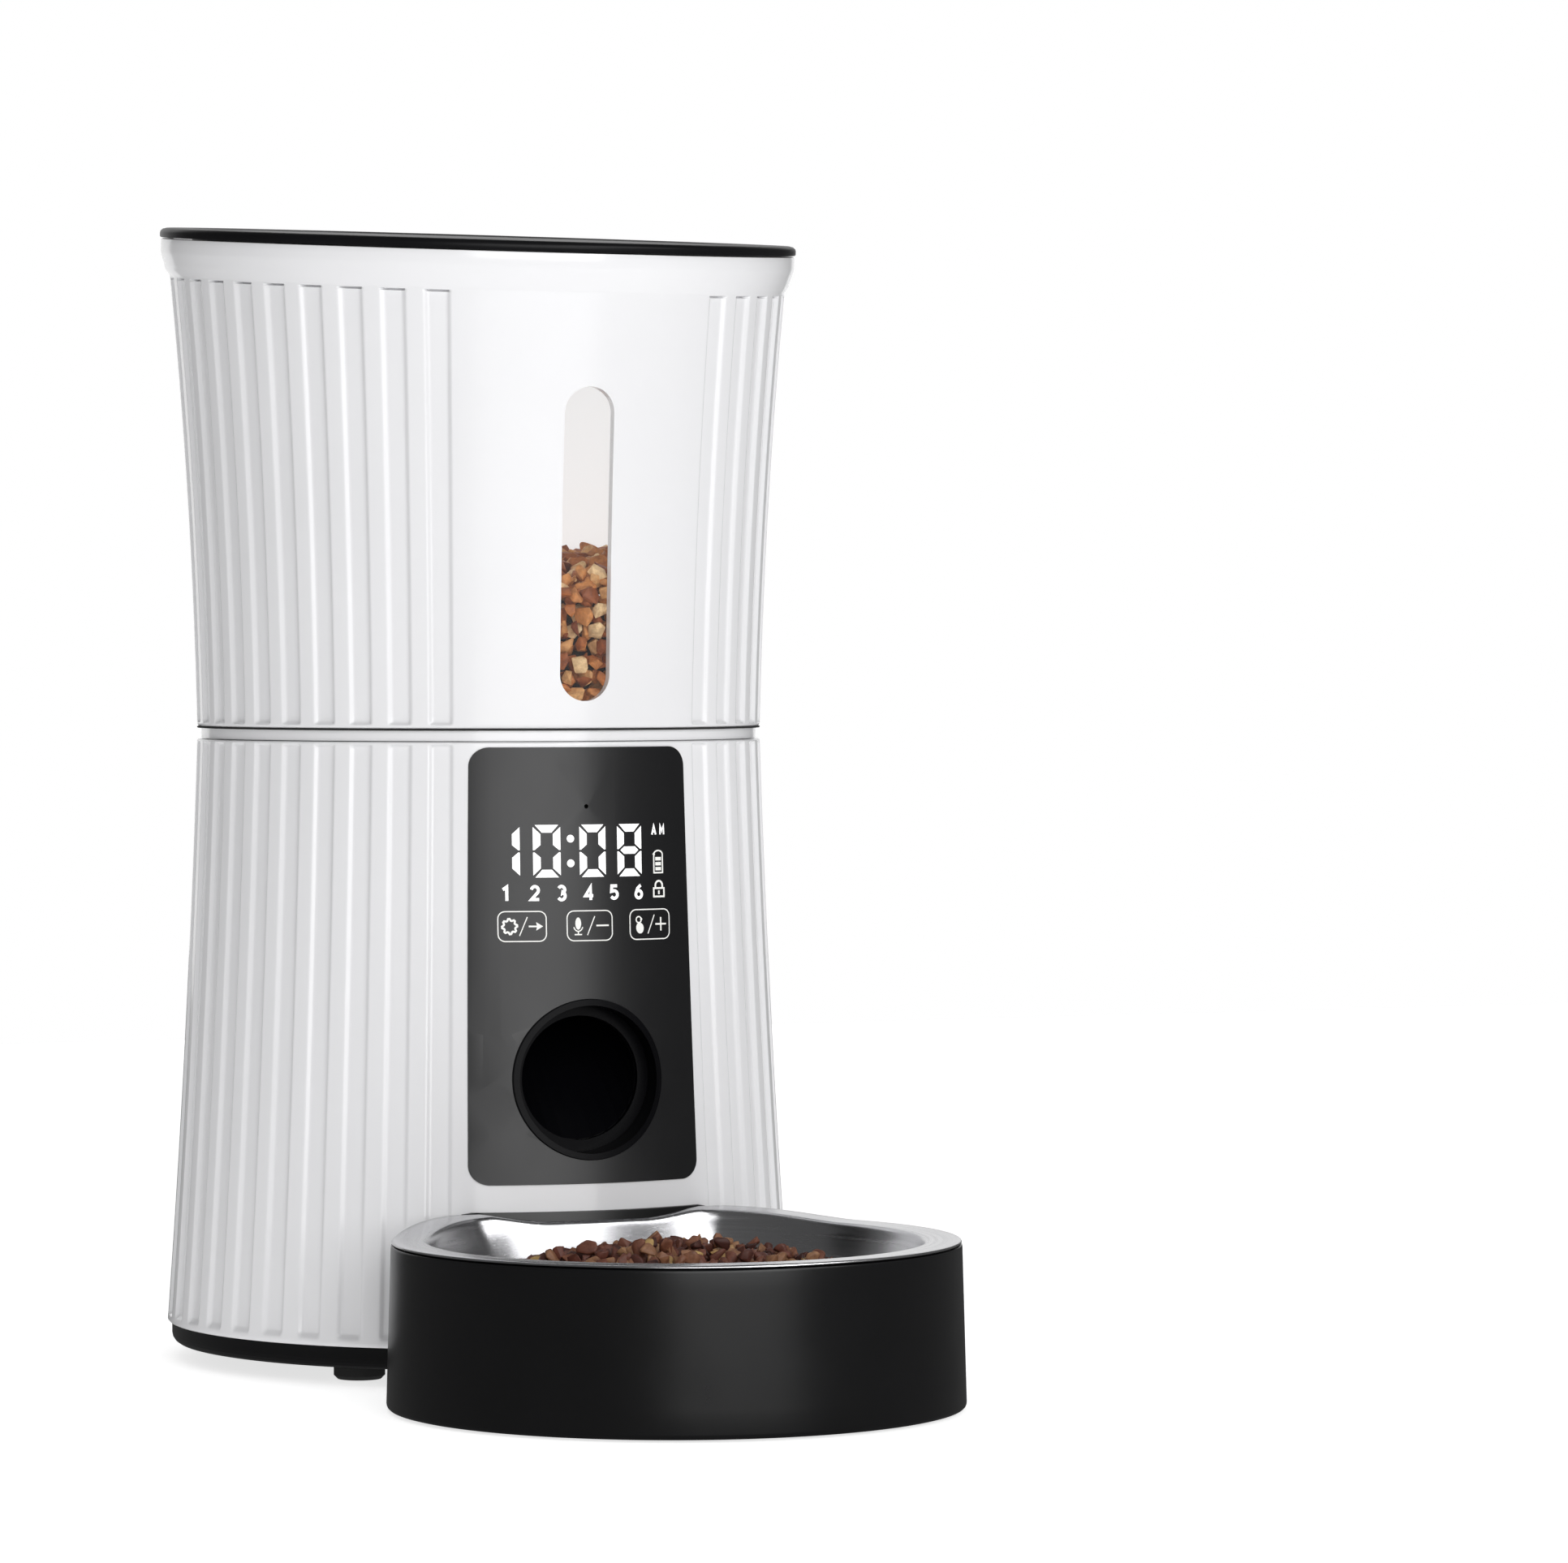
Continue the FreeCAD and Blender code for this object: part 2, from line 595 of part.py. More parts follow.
def compound_gear(name, centre, wheel_to, pinion_to, wheel_z, pinion_top):
    """A wheel driven from one side with a pinion on top that drives the next wheel."""
    wheel_phase = heading(centre, wheel_to)
    pinion_phase = heading(centre, pinion_to) + 180.0 / PINION_TEETH
    wheel = gear(WHEEL_TEETH, wheel_z, wheel_z + GEAR_FACE, centre, wheel_phase, 0.8)
    pinion = gear(PINION_TEETH, wheel_z + GEAR_FACE, pinion_top, centre, pinion_phase, 1.0)
    bore = cylinder(AXLE_R + RUNNING, CASE_Z[0], CASE_Z[1] + 5, *centre)
    save(name, wheel.fuse(pinion).cut(bore).removeSplitter())


def make_motor_pinion():
    phase = heading(MOTOR_XY, IDLER_1_XY) + 180.0 / PINION_TEETH
    pinion = gear(PINION_TEETH, LEVEL_1 - 0.5, LEVEL_1 + 6, MOTOR_XY, phase, 1.0)
    shaft = cylinder(MOTOR_SHAFT_R, CASE_Z[0] - 22, LEVEL_1 + 6.5, *MOTOR_XY)
    save("motor_pinion", pinion.fuse(shaft).removeSplitter())


def make_motor():
    x, y = MOTOR_XY
    top = CASE_Z[0] - 0.05
    can = cylinder(MOTOR_R, top - MOTOR_LENGTH, top, x, y)
    flats = block(x - MOTOR_R, x + MOTOR_R, y - 9.6, y + 9.6, top - MOTOR_LENGTH, top)
    boss = cylinder(3.0, top, top + 1.6, x, y)
    tail = cylinder(5.0, top - MOTOR_LENGTH - 1.5, top - MOTOR_LENGTH, x, y)
    tabs = [block(x + s * 6 - 0.9, x + s * 6 + 0.9, y - 0.3, y + 0.3,
                  top - MOTOR_LENGTH - 4, top - MOTOR_LENGTH) for s in (-1, 1)]
    bore = cylinder(MOTOR_SHAFT_R + RUNNING, top - 23, top + 3, x, y)
    screw_holes = [cylinder(0.9, top - 4, top + 1, *spot) for spot in motor_screw_spots()]
    save("motor", can.common(flats).fuse([boss, tail] + tabs).cut([bore] + screw_holes))


def case_outline(grow, z0, z1):
    """Round the gears' centres: the case is the hull of three rounds."""
    wheel_r = MODULE * (WHEEL_TEETH / 2 + 1) + 0.9 + grow
    rounds = [(OUTPUT_XY, wheel_r), (IDLER_2_XY, wheel_r), (IDLER_1_XY, wheel_r),
              (MOTOR_XY, 8.0 + grow)]
    shape = cylinder(rounds[0][1], z0, z1, *rounds[0][0])
    for (xy, r) in rounds[1:]:
        shape = shape.fuse(cylinder(r, z0, z1, *xy))
    return shape.removeSplitter()


def motor_screw_spots():
    return [(MOTOR_XY[0] + sign * MOTOR_SCREW_X, MOTOR_XY[1]) for sign in (-1, 1)]


def ears(z0, z1):
    return [cylinder(EAR_R, z0, z1, x, y) for x, y in CASE_EARS]


def make_gear_case():
    z0, z1 = CASE_Z
    tray = case_outline(CASE_WALL, z0, z1).fuse(ears(z0, z1))
    tray = tray.cut(case_outline(0.0, z0 + COVER_PLATE, z1))
    cuts = [cylinder(5.0, z0 - 1, z0 + 4, *OUTPUT_XY), cylinder(3.1, z0 - 1, z0 + 4, *MOTOR_XY)]
    cuts += [cylinder(AXLE_R, z0 + 0.6, z0 + 4, *xy) for xy in (IDLER_1_XY, IDLER_2_XY)]
    cuts += [cylinder(1.2, z1 - 12, z1, x, y) for x, y in CASE_EARS]
    cuts += [cylinder(1.2, z0 - 1, z0 + 3, x, y) for x, y in motor_screw_spots()]
    save("gear_case", tray.cut(cuts).removeSplitter())


def make_gear_cover():
    z0, z1 = CASE_Z[1] + 0.05, CASE_Z[1] + COVER_PLATE
    plate = case_outline(CASE_WALL, z0, z1).fuse(ears(z0, z1))
    cuts = [cylinder(5.0, z0, z1, *OUTPUT_XY)]
    cuts += [cylinder(AXLE_R, z0, z1 - 0.6, *xy) for xy in (IDLER_1_XY, IDLER_2_XY)]
    cuts += [cylinder(1.5, z0, z1, x, y) for x, y in CASE_EARS]
    save("gear_cover", plate.cut(cuts).removeSplitter())


def make_bushes():
    low = tube(5.0, SHAFT_R + RUNNING, CASE_Z[0], CASE_Z[0] + COVER_PLATE)
    high = tube(5.0, SHAFT_R + RUNNING, CASE_Z[1] + 0.05, CASE_Z[1] + COVER_PLATE)
    save("output_bushes", low, high)


def make_gear_axles():
    ends = (CASE_Z[0] + 0.7, CASE_Z[1] + COVER_PLATE - 0.7)
    save("gear_axles", *[cylinder(AXLE_R, *ends, *xy) for xy in (IDLER_1_XY, IDLER_2_XY)])


def make_shaft_seal():
    z0 = CASE_Z[1] + COVER_PLATE + 0.2
    sleeve = tube(6.0, SHAFT_R + RUNNING, z0, CHAMBER_Z[0] + CHAMBER_FLOOR)
    save("shaft_seal", sleeve)


# ---- electronics ----
def make_display_board():
    board = block(-31, 34, *BOARD_Y, 128, 186)
    holes = [along_y(1.3, -90, -70, x, z) for x in (-27, 30) for z in (132, 182)]
    save("display_board", board.cut(holes))


def make_display_block():
    body = block(-27.5, 31.5, -83.4, BOARD_Y[0] - 0.02, DISPLAY_Z[0] + 0.5, DISPLAY_Z[1] - 0.5)
    cells = [block(x - 4.4, x + 4.4, -84, -79, 157.0, 172.0) for x in DIGIT_X]
    cells += [block(x - 2.2, x + 2.2, -84, -79, 148.6, 154.4) for x in MEAL_X]
    cells.append(block(*SIGNS_X, -84, -79, 148.6, 172.0))
    cells.append(block(COLON_X - 1.1, COLON_X + 1.1, -84, -79, 158.5, 171.0))
    save("display_light_box", body.cut(cells))


def make_touch_springs():
    pads = []
    for az in KEY_AZ:
        x = around(az, lower_r(KEY_Z))[0]
        y_face = -math.sqrt(lower_r(KEY_Z, -WALL) ** 2 - (abs(x) + 4.5) ** 2)
        disc = along_y(4.5, y_face + 0.3, y_face + 1.0, x, KEY_Z)
        stem = along_y(2.0, y_face + 1.0, BOARD_Y[0] - 0.02, x, KEY_Z)
        turns = [Part.makeTorus(2.4, 0.5, Vector(x, y, KEY_Z), Vector(0, 1, 0))
                 for y in (y_face + 2.0, y_face + 3.6)]
        pads.append(disc.fuse([stem] + turns))
    save("touch_springs", *pads)


def make_microphone():
    save("microphone", along_y(3.0, -86.5, -82.0, z=MIC_Z).fuse(
        block(-0.8, 0.8, -82.0, BOARD_Y[0] - 0.02, MIC_Z - 0.4, MIC_Z + 0.4)))


def make_speaker():
    y0 = SPEAKER_BACK_Y
    frame = along_y(18.0, y0 + 7.0, y0 + 8.6, z=SPEAKER_Z).cut(
        along_y(14.5, y0 + 7.0, y0 + 9, z=SPEAKER_Z))
    basket = Part.makeCone(9.5, 16.0, 5.0, Vector(0, y0 + 2, SPEAKER_Z), Vector(0, 1, 0)).cut(
        Part.makeCone(7.5, 14.5, 5.0, Vector(0, y0 + 3, SPEAKER_Z), Vector(0, 1, 0)))
    magnet = along_y(9.5, y0 - 4, y0 + 2, z=SPEAKER_Z)
    cone = Part.makeCone(5.0, 15.0, 3.4, Vector(0, y0 + 4.5, SPEAKER_Z), Vector(0, 1, 0)).cut(
        Part.makeCone(4.2, 14.2, 3.4, Vector(0, y0 + 4.9, SPEAKER_Z), Vector(0, 1, 0)))
    save("speaker", frame.fuse([basket, magnet, cone]).removeSplitter())


def make_main_board():
    board = block(-38, 38, *MAIN_Y, 50, 104)
    save("main_board", board.cut([along_y(1.6, 50, 70, x, z) for x, z in MAIN_HOLES]))


def make_board_parts():
    y = MAIN_Y[1] + 0.02
    front = MAIN_Y[0] - 0.02
    chip = block(-8, 8, front - 2.2, front, 70, 86)
    radio = block(-30, -14, front - 2.8, front, 78, 98)
    caps = [along_y(4.0, front - 11, front, x, 60) for x in (-22, -11)]
    plugs = [block(x - 5, x + 5, front - 6, front, 92, 98) for x in (6, 22)]
    clock_cell = along_y(6.0, y, y + 4.0, 20, 62)
    save("board_parts", chip, radio, clock_cell, *caps, *plugs)


def make_ir_sensors():
    y, z = -78.0, OUTLET_Z + 4
    bodies = []
    for s in (-1, 1):
        lens = Part.makeCylinder(2.5, 5.0, Vector(s * 21.9, y, z), Vector(s, 0, 0))
        x0, x1 = sorted((s * 26.9, s * 28.5))
        back = block(x0, x1, y - 5, y + 5, z - 4, z + 4)
        bodies.append(lens.fuse(back))
    save("food_sensors", *bodies)


# ---- base, batteries ----
def foot_spots():
    return [around(sign * az, FOOT_CENTRE_R) for az in FOOT_AZ for sign in (-1, 1)]


def make_base_plate():
    z0, z1 = BASE_Z
    steps = 4
    edge = []
    for i in range(steps + 1):
        a = math.pi / 2 * i / steps
        edge.append((BASE_R - BASE_ROUND + BASE_ROUND * math.sin(a),
                     z0 + BASE_ROUND - BASE_ROUND * math.cos(a)))
    spigot_top = 15.5
    spigot = lower_r(spigot_top, -WALL) - 0.1
    pan = turned([(0, z0)] + edge + [(BASE_R, BASE_RIM_TOP), (spigot, BASE_RIM_TOP),
                 (spigot, spigot_top), (spigot - 2.2, spigot_top), (spigot - 2.2, z1), (0, z1)])
    bosses = [cylinder(4.4, z1, 16.4, x, y) for x, y in boss_spots()]
    pan = pan.fuse(bosses)
    cuts = [block(-DOOR_X - 0.4, DOOR_X + 0.4, DOOR_Y - 0.4, 120, z0 - 1, DOOR_Z[1] + 0.3)]
    cuts.append(block(-51, 51, BAY_Y[0], BAY_Y[1], z0 - 1, z1 + 1))
    for x, y in boss_spots():
        cuts.append(cylinder(1.7, z0 - 1, 20, x, y))
        cuts.append(cylinder(3.6, z0 - 1, 11.0, x, y))
    cuts += [cylinder(FOOT_R - 1.5, z0 - 1, z0 + 1.5, x, y) for x, y in foot_spots()]
    save("base_plate", pan.cut(cuts).removeSplitter())


def make_feet():
    feet = []
    top = BASE_Z[0] - 0.02
    for x, y in foot_spots():
        foot = turned([(0, 0), (FOOT_R - 1.2, 0), (FOOT_R, 1.2), (FOOT_R, top), (0, top)])
        foot = foot.fuse(cylinder(FOOT_R - 1.55, BASE_Z[0] - 0.5, BASE_Z[0] + 1.45))
        foot.translate(Vector(x, y, 0))
        feet.append(foot)
    save("rubber_feet", *feet)


def make_base_screws():
    save("base_screws", *[screw(3.2, 2.2, 1.35, 22.0, x, y, 11.0, down=False)
                          for x, y in boss_spots()])


def make_battery_box():
    y0, y1 = BAY_Y
    z0 = BASE_Z[1] + 0.05
    outer = block(-53, 53, y0 - BOX_WALL, y1 + BOX_WALL, z0, BAY_TOP + BOX_WALL)
    bays = block(-51, 51, y0, y1, z0 - 1, BAY_TOP)
    ribs = [block(s * CELL_D / 2 - 0.6, s * CELL_D / 2 + 0.6, y0, y1, BAY_TOP - 9, BAY_TOP)
            for s in (-1, 1)]
    save("battery_box", outer.cut(bays).fuse(ribs).removeSplitter())


def make_battery_contacts():
    y0, y1 = BAY_Y
    pieces = []
    for i, s in enumerate((-1, 0, 1)):
        x, z = s * CELL_D, 26.0
        near, far = (y0, y1) if i % 2 else (y1, y0)
        way = 1 if near == y0 else -1
        spring = Part.makeCone(8.0, 4.5, 2.4, Vector(x, near + way * 0.6, z), Vector(0, way, 0))
        hollow = Part.makeCone(7.0, 3.5, 2.4, Vector(x, near + way * 0.6, z), Vector(0, way, 0))
        low, high = sorted((near + way * 0.05, near + way * 0.6))
        pieces.append(spring.cut(hollow).fuse(block(x - 9, x + 9, low, high, z - 9, z + 9)))
        low, high = sorted((far - way * 0.6, far - way * 0.05))
        pieces.append(block(x - 9, x + 9, low, high, z - 9, z + 9))
    save("battery_contacts", *pieces)


def make_battery_door():
    plate = block(-DOOR_X, DOOR_X, DOOR_Y, 120, *DOOR_Z)
    plate = plate.common(cylinder(BASE_R - BASE_ROUND, 0, 20))
    grips = [block(-16, 16, y, y + 1.4, DOOR_Z[0] - 0.1, DOOR_Z[0] + 0.8) for y in (74, 78, 82)]
    save("battery_door", plate.cut(grips))


# ---- screws of the inner pieces ----
def make_inner_screws():
    z = CASE_Z[1] + COVER_PLATE
    save("gear_case_screws", *[screw(2.3, 0.7, 1.15, 11.0, x, y, z) for x, y in CASE_EARS])
    z = CASE_Z[0] + COVER_PLATE
    save("motor_screws", *[screw(1.6, 1.0, 0.85, 5.5, x, y, z) for x, y in motor_screw_spots()])
    save("deck_screws", *[screw(2.6, 1.8, 1.25, 7.5, *lug_spot(a), 178.0, down=False)
                          for a in LUG_ANGLES])


# ---- bowl ----
def body_clearance(gap, top):
    """The barrel grown by a gap: what a piece in front of it is cut back from."""
    return barrel(lower_r, -6.0, top, gap)


def above_rim(z):
    """Everything over the rim's swept surface, which is at z in front."""
    y0, y1 = SWEEP_Y
    spots = []
    for i in range(9):
        t = i / 8
        rise = RIM_SWEEP * t * t * (3 - 2 * t)
        spots.append(Vector(-FAR / 2, BOWL_Y + y0 + (y1 - y0) * t, z + rise))
    curve = Part.BSplineCurve()
    level = Vector(0, 1, 0)
    curve.interpolate(Points=spots, InitialTangent=level, FinalTangent=level)
    corners = [spots[-1], Vector(-FAR / 2, FAR, z + RIM_SWEEP), Vector(-FAR / 2, FAR, FAR),
               Vector(-FAR / 2, -FAR, FAR), Vector(-FAR / 2, -FAR, z), spots[0]]
    outline = Part.Wire([curve.toShape()] + Part.makePolygon(corners).Edges)
    return Part.Face(outline).extrude(Vector(FAR, 0, 0))


def make_bowl_holder():
    z0, z1 = HOLDER_Z
    outer = turned([(0, z0), (HOLDER_R_LOW - 1.4, z0), (HOLDER_R_LOW - 0.3, z0 + 0.5),
                    (HOLDER_R_LOW, z0 + 1.5), (HOLDER_R_TOP, z1), (HOLDER_R_TOP, GUARD_TOP),
                    (0, GUARD_TOP)])
    outer.translate(Vector(0, BOWL_Y, 0))
    outer = outer.cut(above_rim(z1))
    lean = Part.makeCone(HOLDER_R_LOW, HOLDER_R_TOP, GUARD_TOP - z1 + 6, Vector(0, BOWL_Y, z1 - 6))
    guard = lean.common(barrel(lower_r, z1 - 6, GUARD_TOP, BODY_GAP + GUARD_T))
    outer = outer.fuse(guard).cut(body_clearance(BODY_GAP, 80.0))
    inner_r = HOLDER_R_TOP - 3.4
    inner = cylinder(inner_r, z0 + 3.0, z1 + 9, 0, BOWL_Y)
    pocket = inner.cut(body_clearance(BODY_GAP + GUARD_T, 80.0))
    seats = [cylinder(5.5, z0 - 1, z0 + 1.2, x, y) for x, y in holder_foot_spots()]
    save("bowl_holder", outer.cut(pocket).cut(seats).removeSplitter())


def holder_foot_spots():
    spots = []
    for az in (-60.0, 0.0, 60.0):
        x, y = around(az, 68.0)
        spots.append((x, y + BOWL_Y))
    return spots + [(-46.0, BOWL_Y + 46.0), (46.0, BOWL_Y + 46.0)]


def make_holder_feet():
    z0 = HOLDER_Z[0]
    save("holder_feet", *[cylinder(5.4, 0.0, z0 + 1.15, x, y) for x, y in holder_foot_spots()])


def bowl_form(thin, z_top):
    """The bowl's pressed form; thin moves its faces in by the sheet's thickness."""
    mouth = turned([(0, BOWL_FLOOR_Z + thin), (BOWL_FLOOR_R - thin - 5, BOWL_FLOOR_Z + thin),
                    (BOWL_FLOOR_R - thin, BOWL_FLOOR_Z + thin + 3.5),
                    (BOWL_MOUTH_R - thin - 0.8, HOLDER_Z[1] - 3.0),
                    (BOWL_MOUTH_R - thin, HOLDER_Z[1] - 0.5),
                    (BOWL_MOUTH_R - thin, z_top), (0, z_top)])
    mouth.translate(Vector(0, BOWL_Y, 0))
    back = BODY_GAP + GUARD_T + 2.2 + thin
    return mouth.cut(cylinder(lower_r(30.0) + back + 1.2, -5, 80))


def make_steel_bowl():
    z_seat = HOLDER_Z[1] + 0.3
    z_top = z_seat + BOWL_SHEET
    highest = z_top + RIM_SWEEP + 1
    plate = cylinder(BOWL_FLANGE_R, z_seat - 1, highest, 0, BOWL_Y).common(above_rim(z_seat))
    plate = plate.cut(cylinder(lower_r(45.0) + BODY_GAP + GUARD_T + 0.5, 0, 90))
    outside = bowl_form(0.0, highest)
    inside = bowl_form(BOWL_SHEET, highest + 1)
    bowl = plate.fuse(outside).cut(inside).cut(above_rim(z_top))
    save("steel_bowl", bowl.removeSplitter())


# ---- everything ----
make_lid()
make_lid_seal()
make_desiccant_tray()
make_desiccant_cap()
make_hopper_shell()
make_hopper_window()
make_hopper_funnel()
make_rotor()
make_wipers()
make_stirrer()
make_chamber()
make_chamber_cover()
make_chute()
make_outlet_ring()
make_lower_shell()
make_power_socket()
make_deck()
make_control_panel()
make_output_gear()
compound_gear("idler_gear_2", IDLER_2_XY, IDLER_1_XY, OUTPUT_XY, LEVEL_2, LEVEL_3 + 6.5)
compound_gear("idler_gear_1", IDLER_1_XY, MOTOR_XY, IDLER_2_XY, LEVEL_1, LEVEL_2 + 5.5)
make_motor_pinion()
make_motor()
make_gear_case()
make_gear_cover()
make_bushes()
make_gear_axles()
make_shaft_seal()
make_display_board()
make_display_block()
make_touch_springs()
make_microphone()
make_speaker()
make_main_board()
make_board_parts()
make_ir_sensors()
make_base_plate()
make_feet()
make_base_screws()
make_battery_box()
make_battery_contacts()
make_battery_door()
make_inner_screws()
make_bowl_holder()
make_holder_feet()
make_steel_bowl()
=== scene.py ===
import json
import math
import random

import bmesh
import bpy
from mathutils import Matrix, Vector, noise


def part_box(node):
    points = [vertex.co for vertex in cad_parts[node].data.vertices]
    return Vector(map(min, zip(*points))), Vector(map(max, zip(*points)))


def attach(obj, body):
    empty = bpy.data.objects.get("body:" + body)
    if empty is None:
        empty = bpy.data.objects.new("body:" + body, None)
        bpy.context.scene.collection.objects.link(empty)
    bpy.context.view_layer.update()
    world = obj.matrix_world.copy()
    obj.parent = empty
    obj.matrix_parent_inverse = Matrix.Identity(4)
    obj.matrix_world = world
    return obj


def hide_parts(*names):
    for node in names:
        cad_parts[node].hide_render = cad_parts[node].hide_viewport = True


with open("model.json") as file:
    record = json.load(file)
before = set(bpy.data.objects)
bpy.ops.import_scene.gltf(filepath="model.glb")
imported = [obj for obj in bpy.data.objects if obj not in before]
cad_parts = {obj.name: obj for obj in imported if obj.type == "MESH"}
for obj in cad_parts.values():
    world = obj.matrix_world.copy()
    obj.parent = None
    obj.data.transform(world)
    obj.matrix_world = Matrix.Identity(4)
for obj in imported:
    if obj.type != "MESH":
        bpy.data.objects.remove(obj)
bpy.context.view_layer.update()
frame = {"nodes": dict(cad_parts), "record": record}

# Automatic pet feeder. Lengths below are in millimetres and are scaled by MM
# when they become Blender coordinates. Angles from the front are positive to +X.
MM = 0.001


def node_box(name):
    low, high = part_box(name)
    return Vector(low) / MM, Vector(high) / MM


# ---- places read from the frame ----
SHELL_LOW, SHELL_HIGH = node_box("lower_shell")
AXIS_Y = (SHELL_LOW.y + SHELL_HIGH.y) / 2
LOWER_Z = (SHELL_LOW.z, SHELL_HIGH.z)
UPPER_START = node_box("hopper_shell")[0].z
HOLDER_LOW, HOLDER_HIGH = node_box("bowl_holder")
BOWL_LOW = node_box("steel_bowl")[0]
HOLDER_R = (HOLDER_HIGH.x - HOLDER_LOW.x) / 2
BOWL_Y = HOLDER_LOW.y + HOLDER_R
BOWL_DISTANCE = AXIS_Y - BOWL_Y
FUNNEL_TOP = node_box("hopper_funnel")[1].z

# ---- the barrel's turned arcs, as in the design ----
LOWER_R = (100.0, 94.2, 90.3)
UPPER_Z = (202.2, 345.6)
UPPER_R = (90.3, 93.15, 98.7)
WALL = 3.0
LID_Z = 355.7
LID_TILT = math.radians(4.3)
LID_R = 101.9
LID_T = 3.1
COLLAR_R = 101.5
FLUTES_ROUND = 44
FLUTE_PITCH = 360 / FLUTES_ROUND
FLUTE_FIRST = 3.5 * FLUTE_PITCH
FLUTE_HALF = 2.1
FLUTE_EDGE = 0.32
FLUTE_DEPTH = 1.2
COLUMNS_PER_FLUTE = 25
OUTLET_Z = 94.0
OUTLET_R = 24.8
WINDOW_Z = (210.7, 307.6)
WINDOW_W = 16.5
MIC_Z = 178.2
PANEL_PROUD = 0.45
SPEAKER_Z = 78.0
SPEAKER_PITCH = 5.5
SPEAKER_HOLE_R = 1.1
SOCKET_Z = 26.0
SOCKET_HALF = (4.8, 1.95)

# ---- the bowl and its holder ----
RIM_Z = 49.2
RIM_R = 85.4
RIM_SWEEP = 2.9            # the rim rises towards the barrel by this much
SWEEP_Y = (36.0, 74.0)     # from here to here behind the bowl's middle
GUARD_TOP = 53.8
GUARD_T = 1.8
BODY_GAP = 0.6
FLANGE_Z = 50.4
FLANGE_R = 85.2
MOUTH_R = 74.6
BOWL_FLOOR_R = 62.0
BOWL_SHEET = 0.9

# ---- the food ----
FOOD_LEVEL = 250.0
HEAP_TOP = 48.2
HEAP_FALL = 0.0024         # the heap is a shallow bowl upside down: mm lost per mm squared

# ---- marks on the panel, as angles from the front and heights ----
CLOCK_Z = 164.5
CLOCK_AZ = (("1", -16.1), ("0", -8.1), ("0", 1.2), ("8", 9.2))
COLON_AZ = -3.35
MEALS_Z = 151.6
MEALS_AZ = (-16.1, -10.5, -5.2, 0.3, 5.6, 11.1)
MORNING_Z = 170.6
MORNING_AZ = (15.0, 17.0)
SIGNS_AZ = 15.9
BATTERY_Z = 160.6
LOCK_Z = 151.4
KEYS_Z = 141.4
KEYS_AZ = (-13.0, 0.4, 13.6)
KEY_SIZE = (15.0, 9.2)
KEY_CORNER = 2.2


def arc_radius(heights, radii, z):
    """Radius at height z of the arc through a half's bottom, middle and top."""
    z0, z2 = heights
    r0, r1, r2 = radii
    d1, d2 = (z2 - z0) / 2, z2 - z0
    k1 = (d1 * d1 + r1 * r1 - r0 * r0) / 2
    k2 = (d2 * d2 + r2 * r2 - r0 * r0) / 2
    det = d1 * (r2 - r0) - d2 * (r1 - r0)
    zc = (k1 * (r2 - r0) - k2 * (r1 - r0)) / det
    rc = (d1 * k2 - d2 * k1) / det
    rho = math.hypot(r0 - rc, zc)
    return rc - math.sqrt(rho * rho - (z - z0 - zc) ** 2)


def lower_r(z):
    return arc_radius(LOWER_Z, LOWER_R, z)


def upper_r(z):
    return arc_radius(UPPER_Z, UPPER_R, z)


def smooth(t):
    t = min(1.0, max(0.0, t))
    return t * t * (3 - 2 * t)


def on_barrel(angle, r, z):
    """A point at an angle in degrees from the front."""
    a = math.radians(angle)
    return Vector((r * math.sin(a), AXIS_Y - r * math.cos(a), z))


def on_lid(angle, r, height):
    """A point in the lid's sloping frame."""
    a = math.radians(angle)
    x, y = r * math.sin(a), -r * math.cos(a)
    return Vector((x, AXIS_Y + y * math.cos(LID_TILT) - height * math.sin(LID_TILT),
                   LID_Z + y * math.sin(LID_TILT) + height * math.cos(LID_TILT)))


def seat_height(angle, r, drop=0.0):
    """Height of the lid's seat over a point of the barrel, or of a plane below it."""
    return LID_Z - drop - r * math.cos(math.radians(angle)) * math.tan(LID_TILT)


# ---- materials ----
def material(name, color, roughness, metallic=0.0, **sockets):
    made = bpy.data.materials.new(name)
    made.use_nodes = True
    shader = made.node_tree.nodes["Principled BSDF"]
    shader.inputs["Base Color"].default_value = (*color, 1.0)
    shader.inputs["Roughness"].default_value = roughness
    shader.inputs["Metallic"].default_value = metallic
    for socket, value in sockets.items():
        shader.inputs[socket.replace("_", " ")].default_value = value
    return made


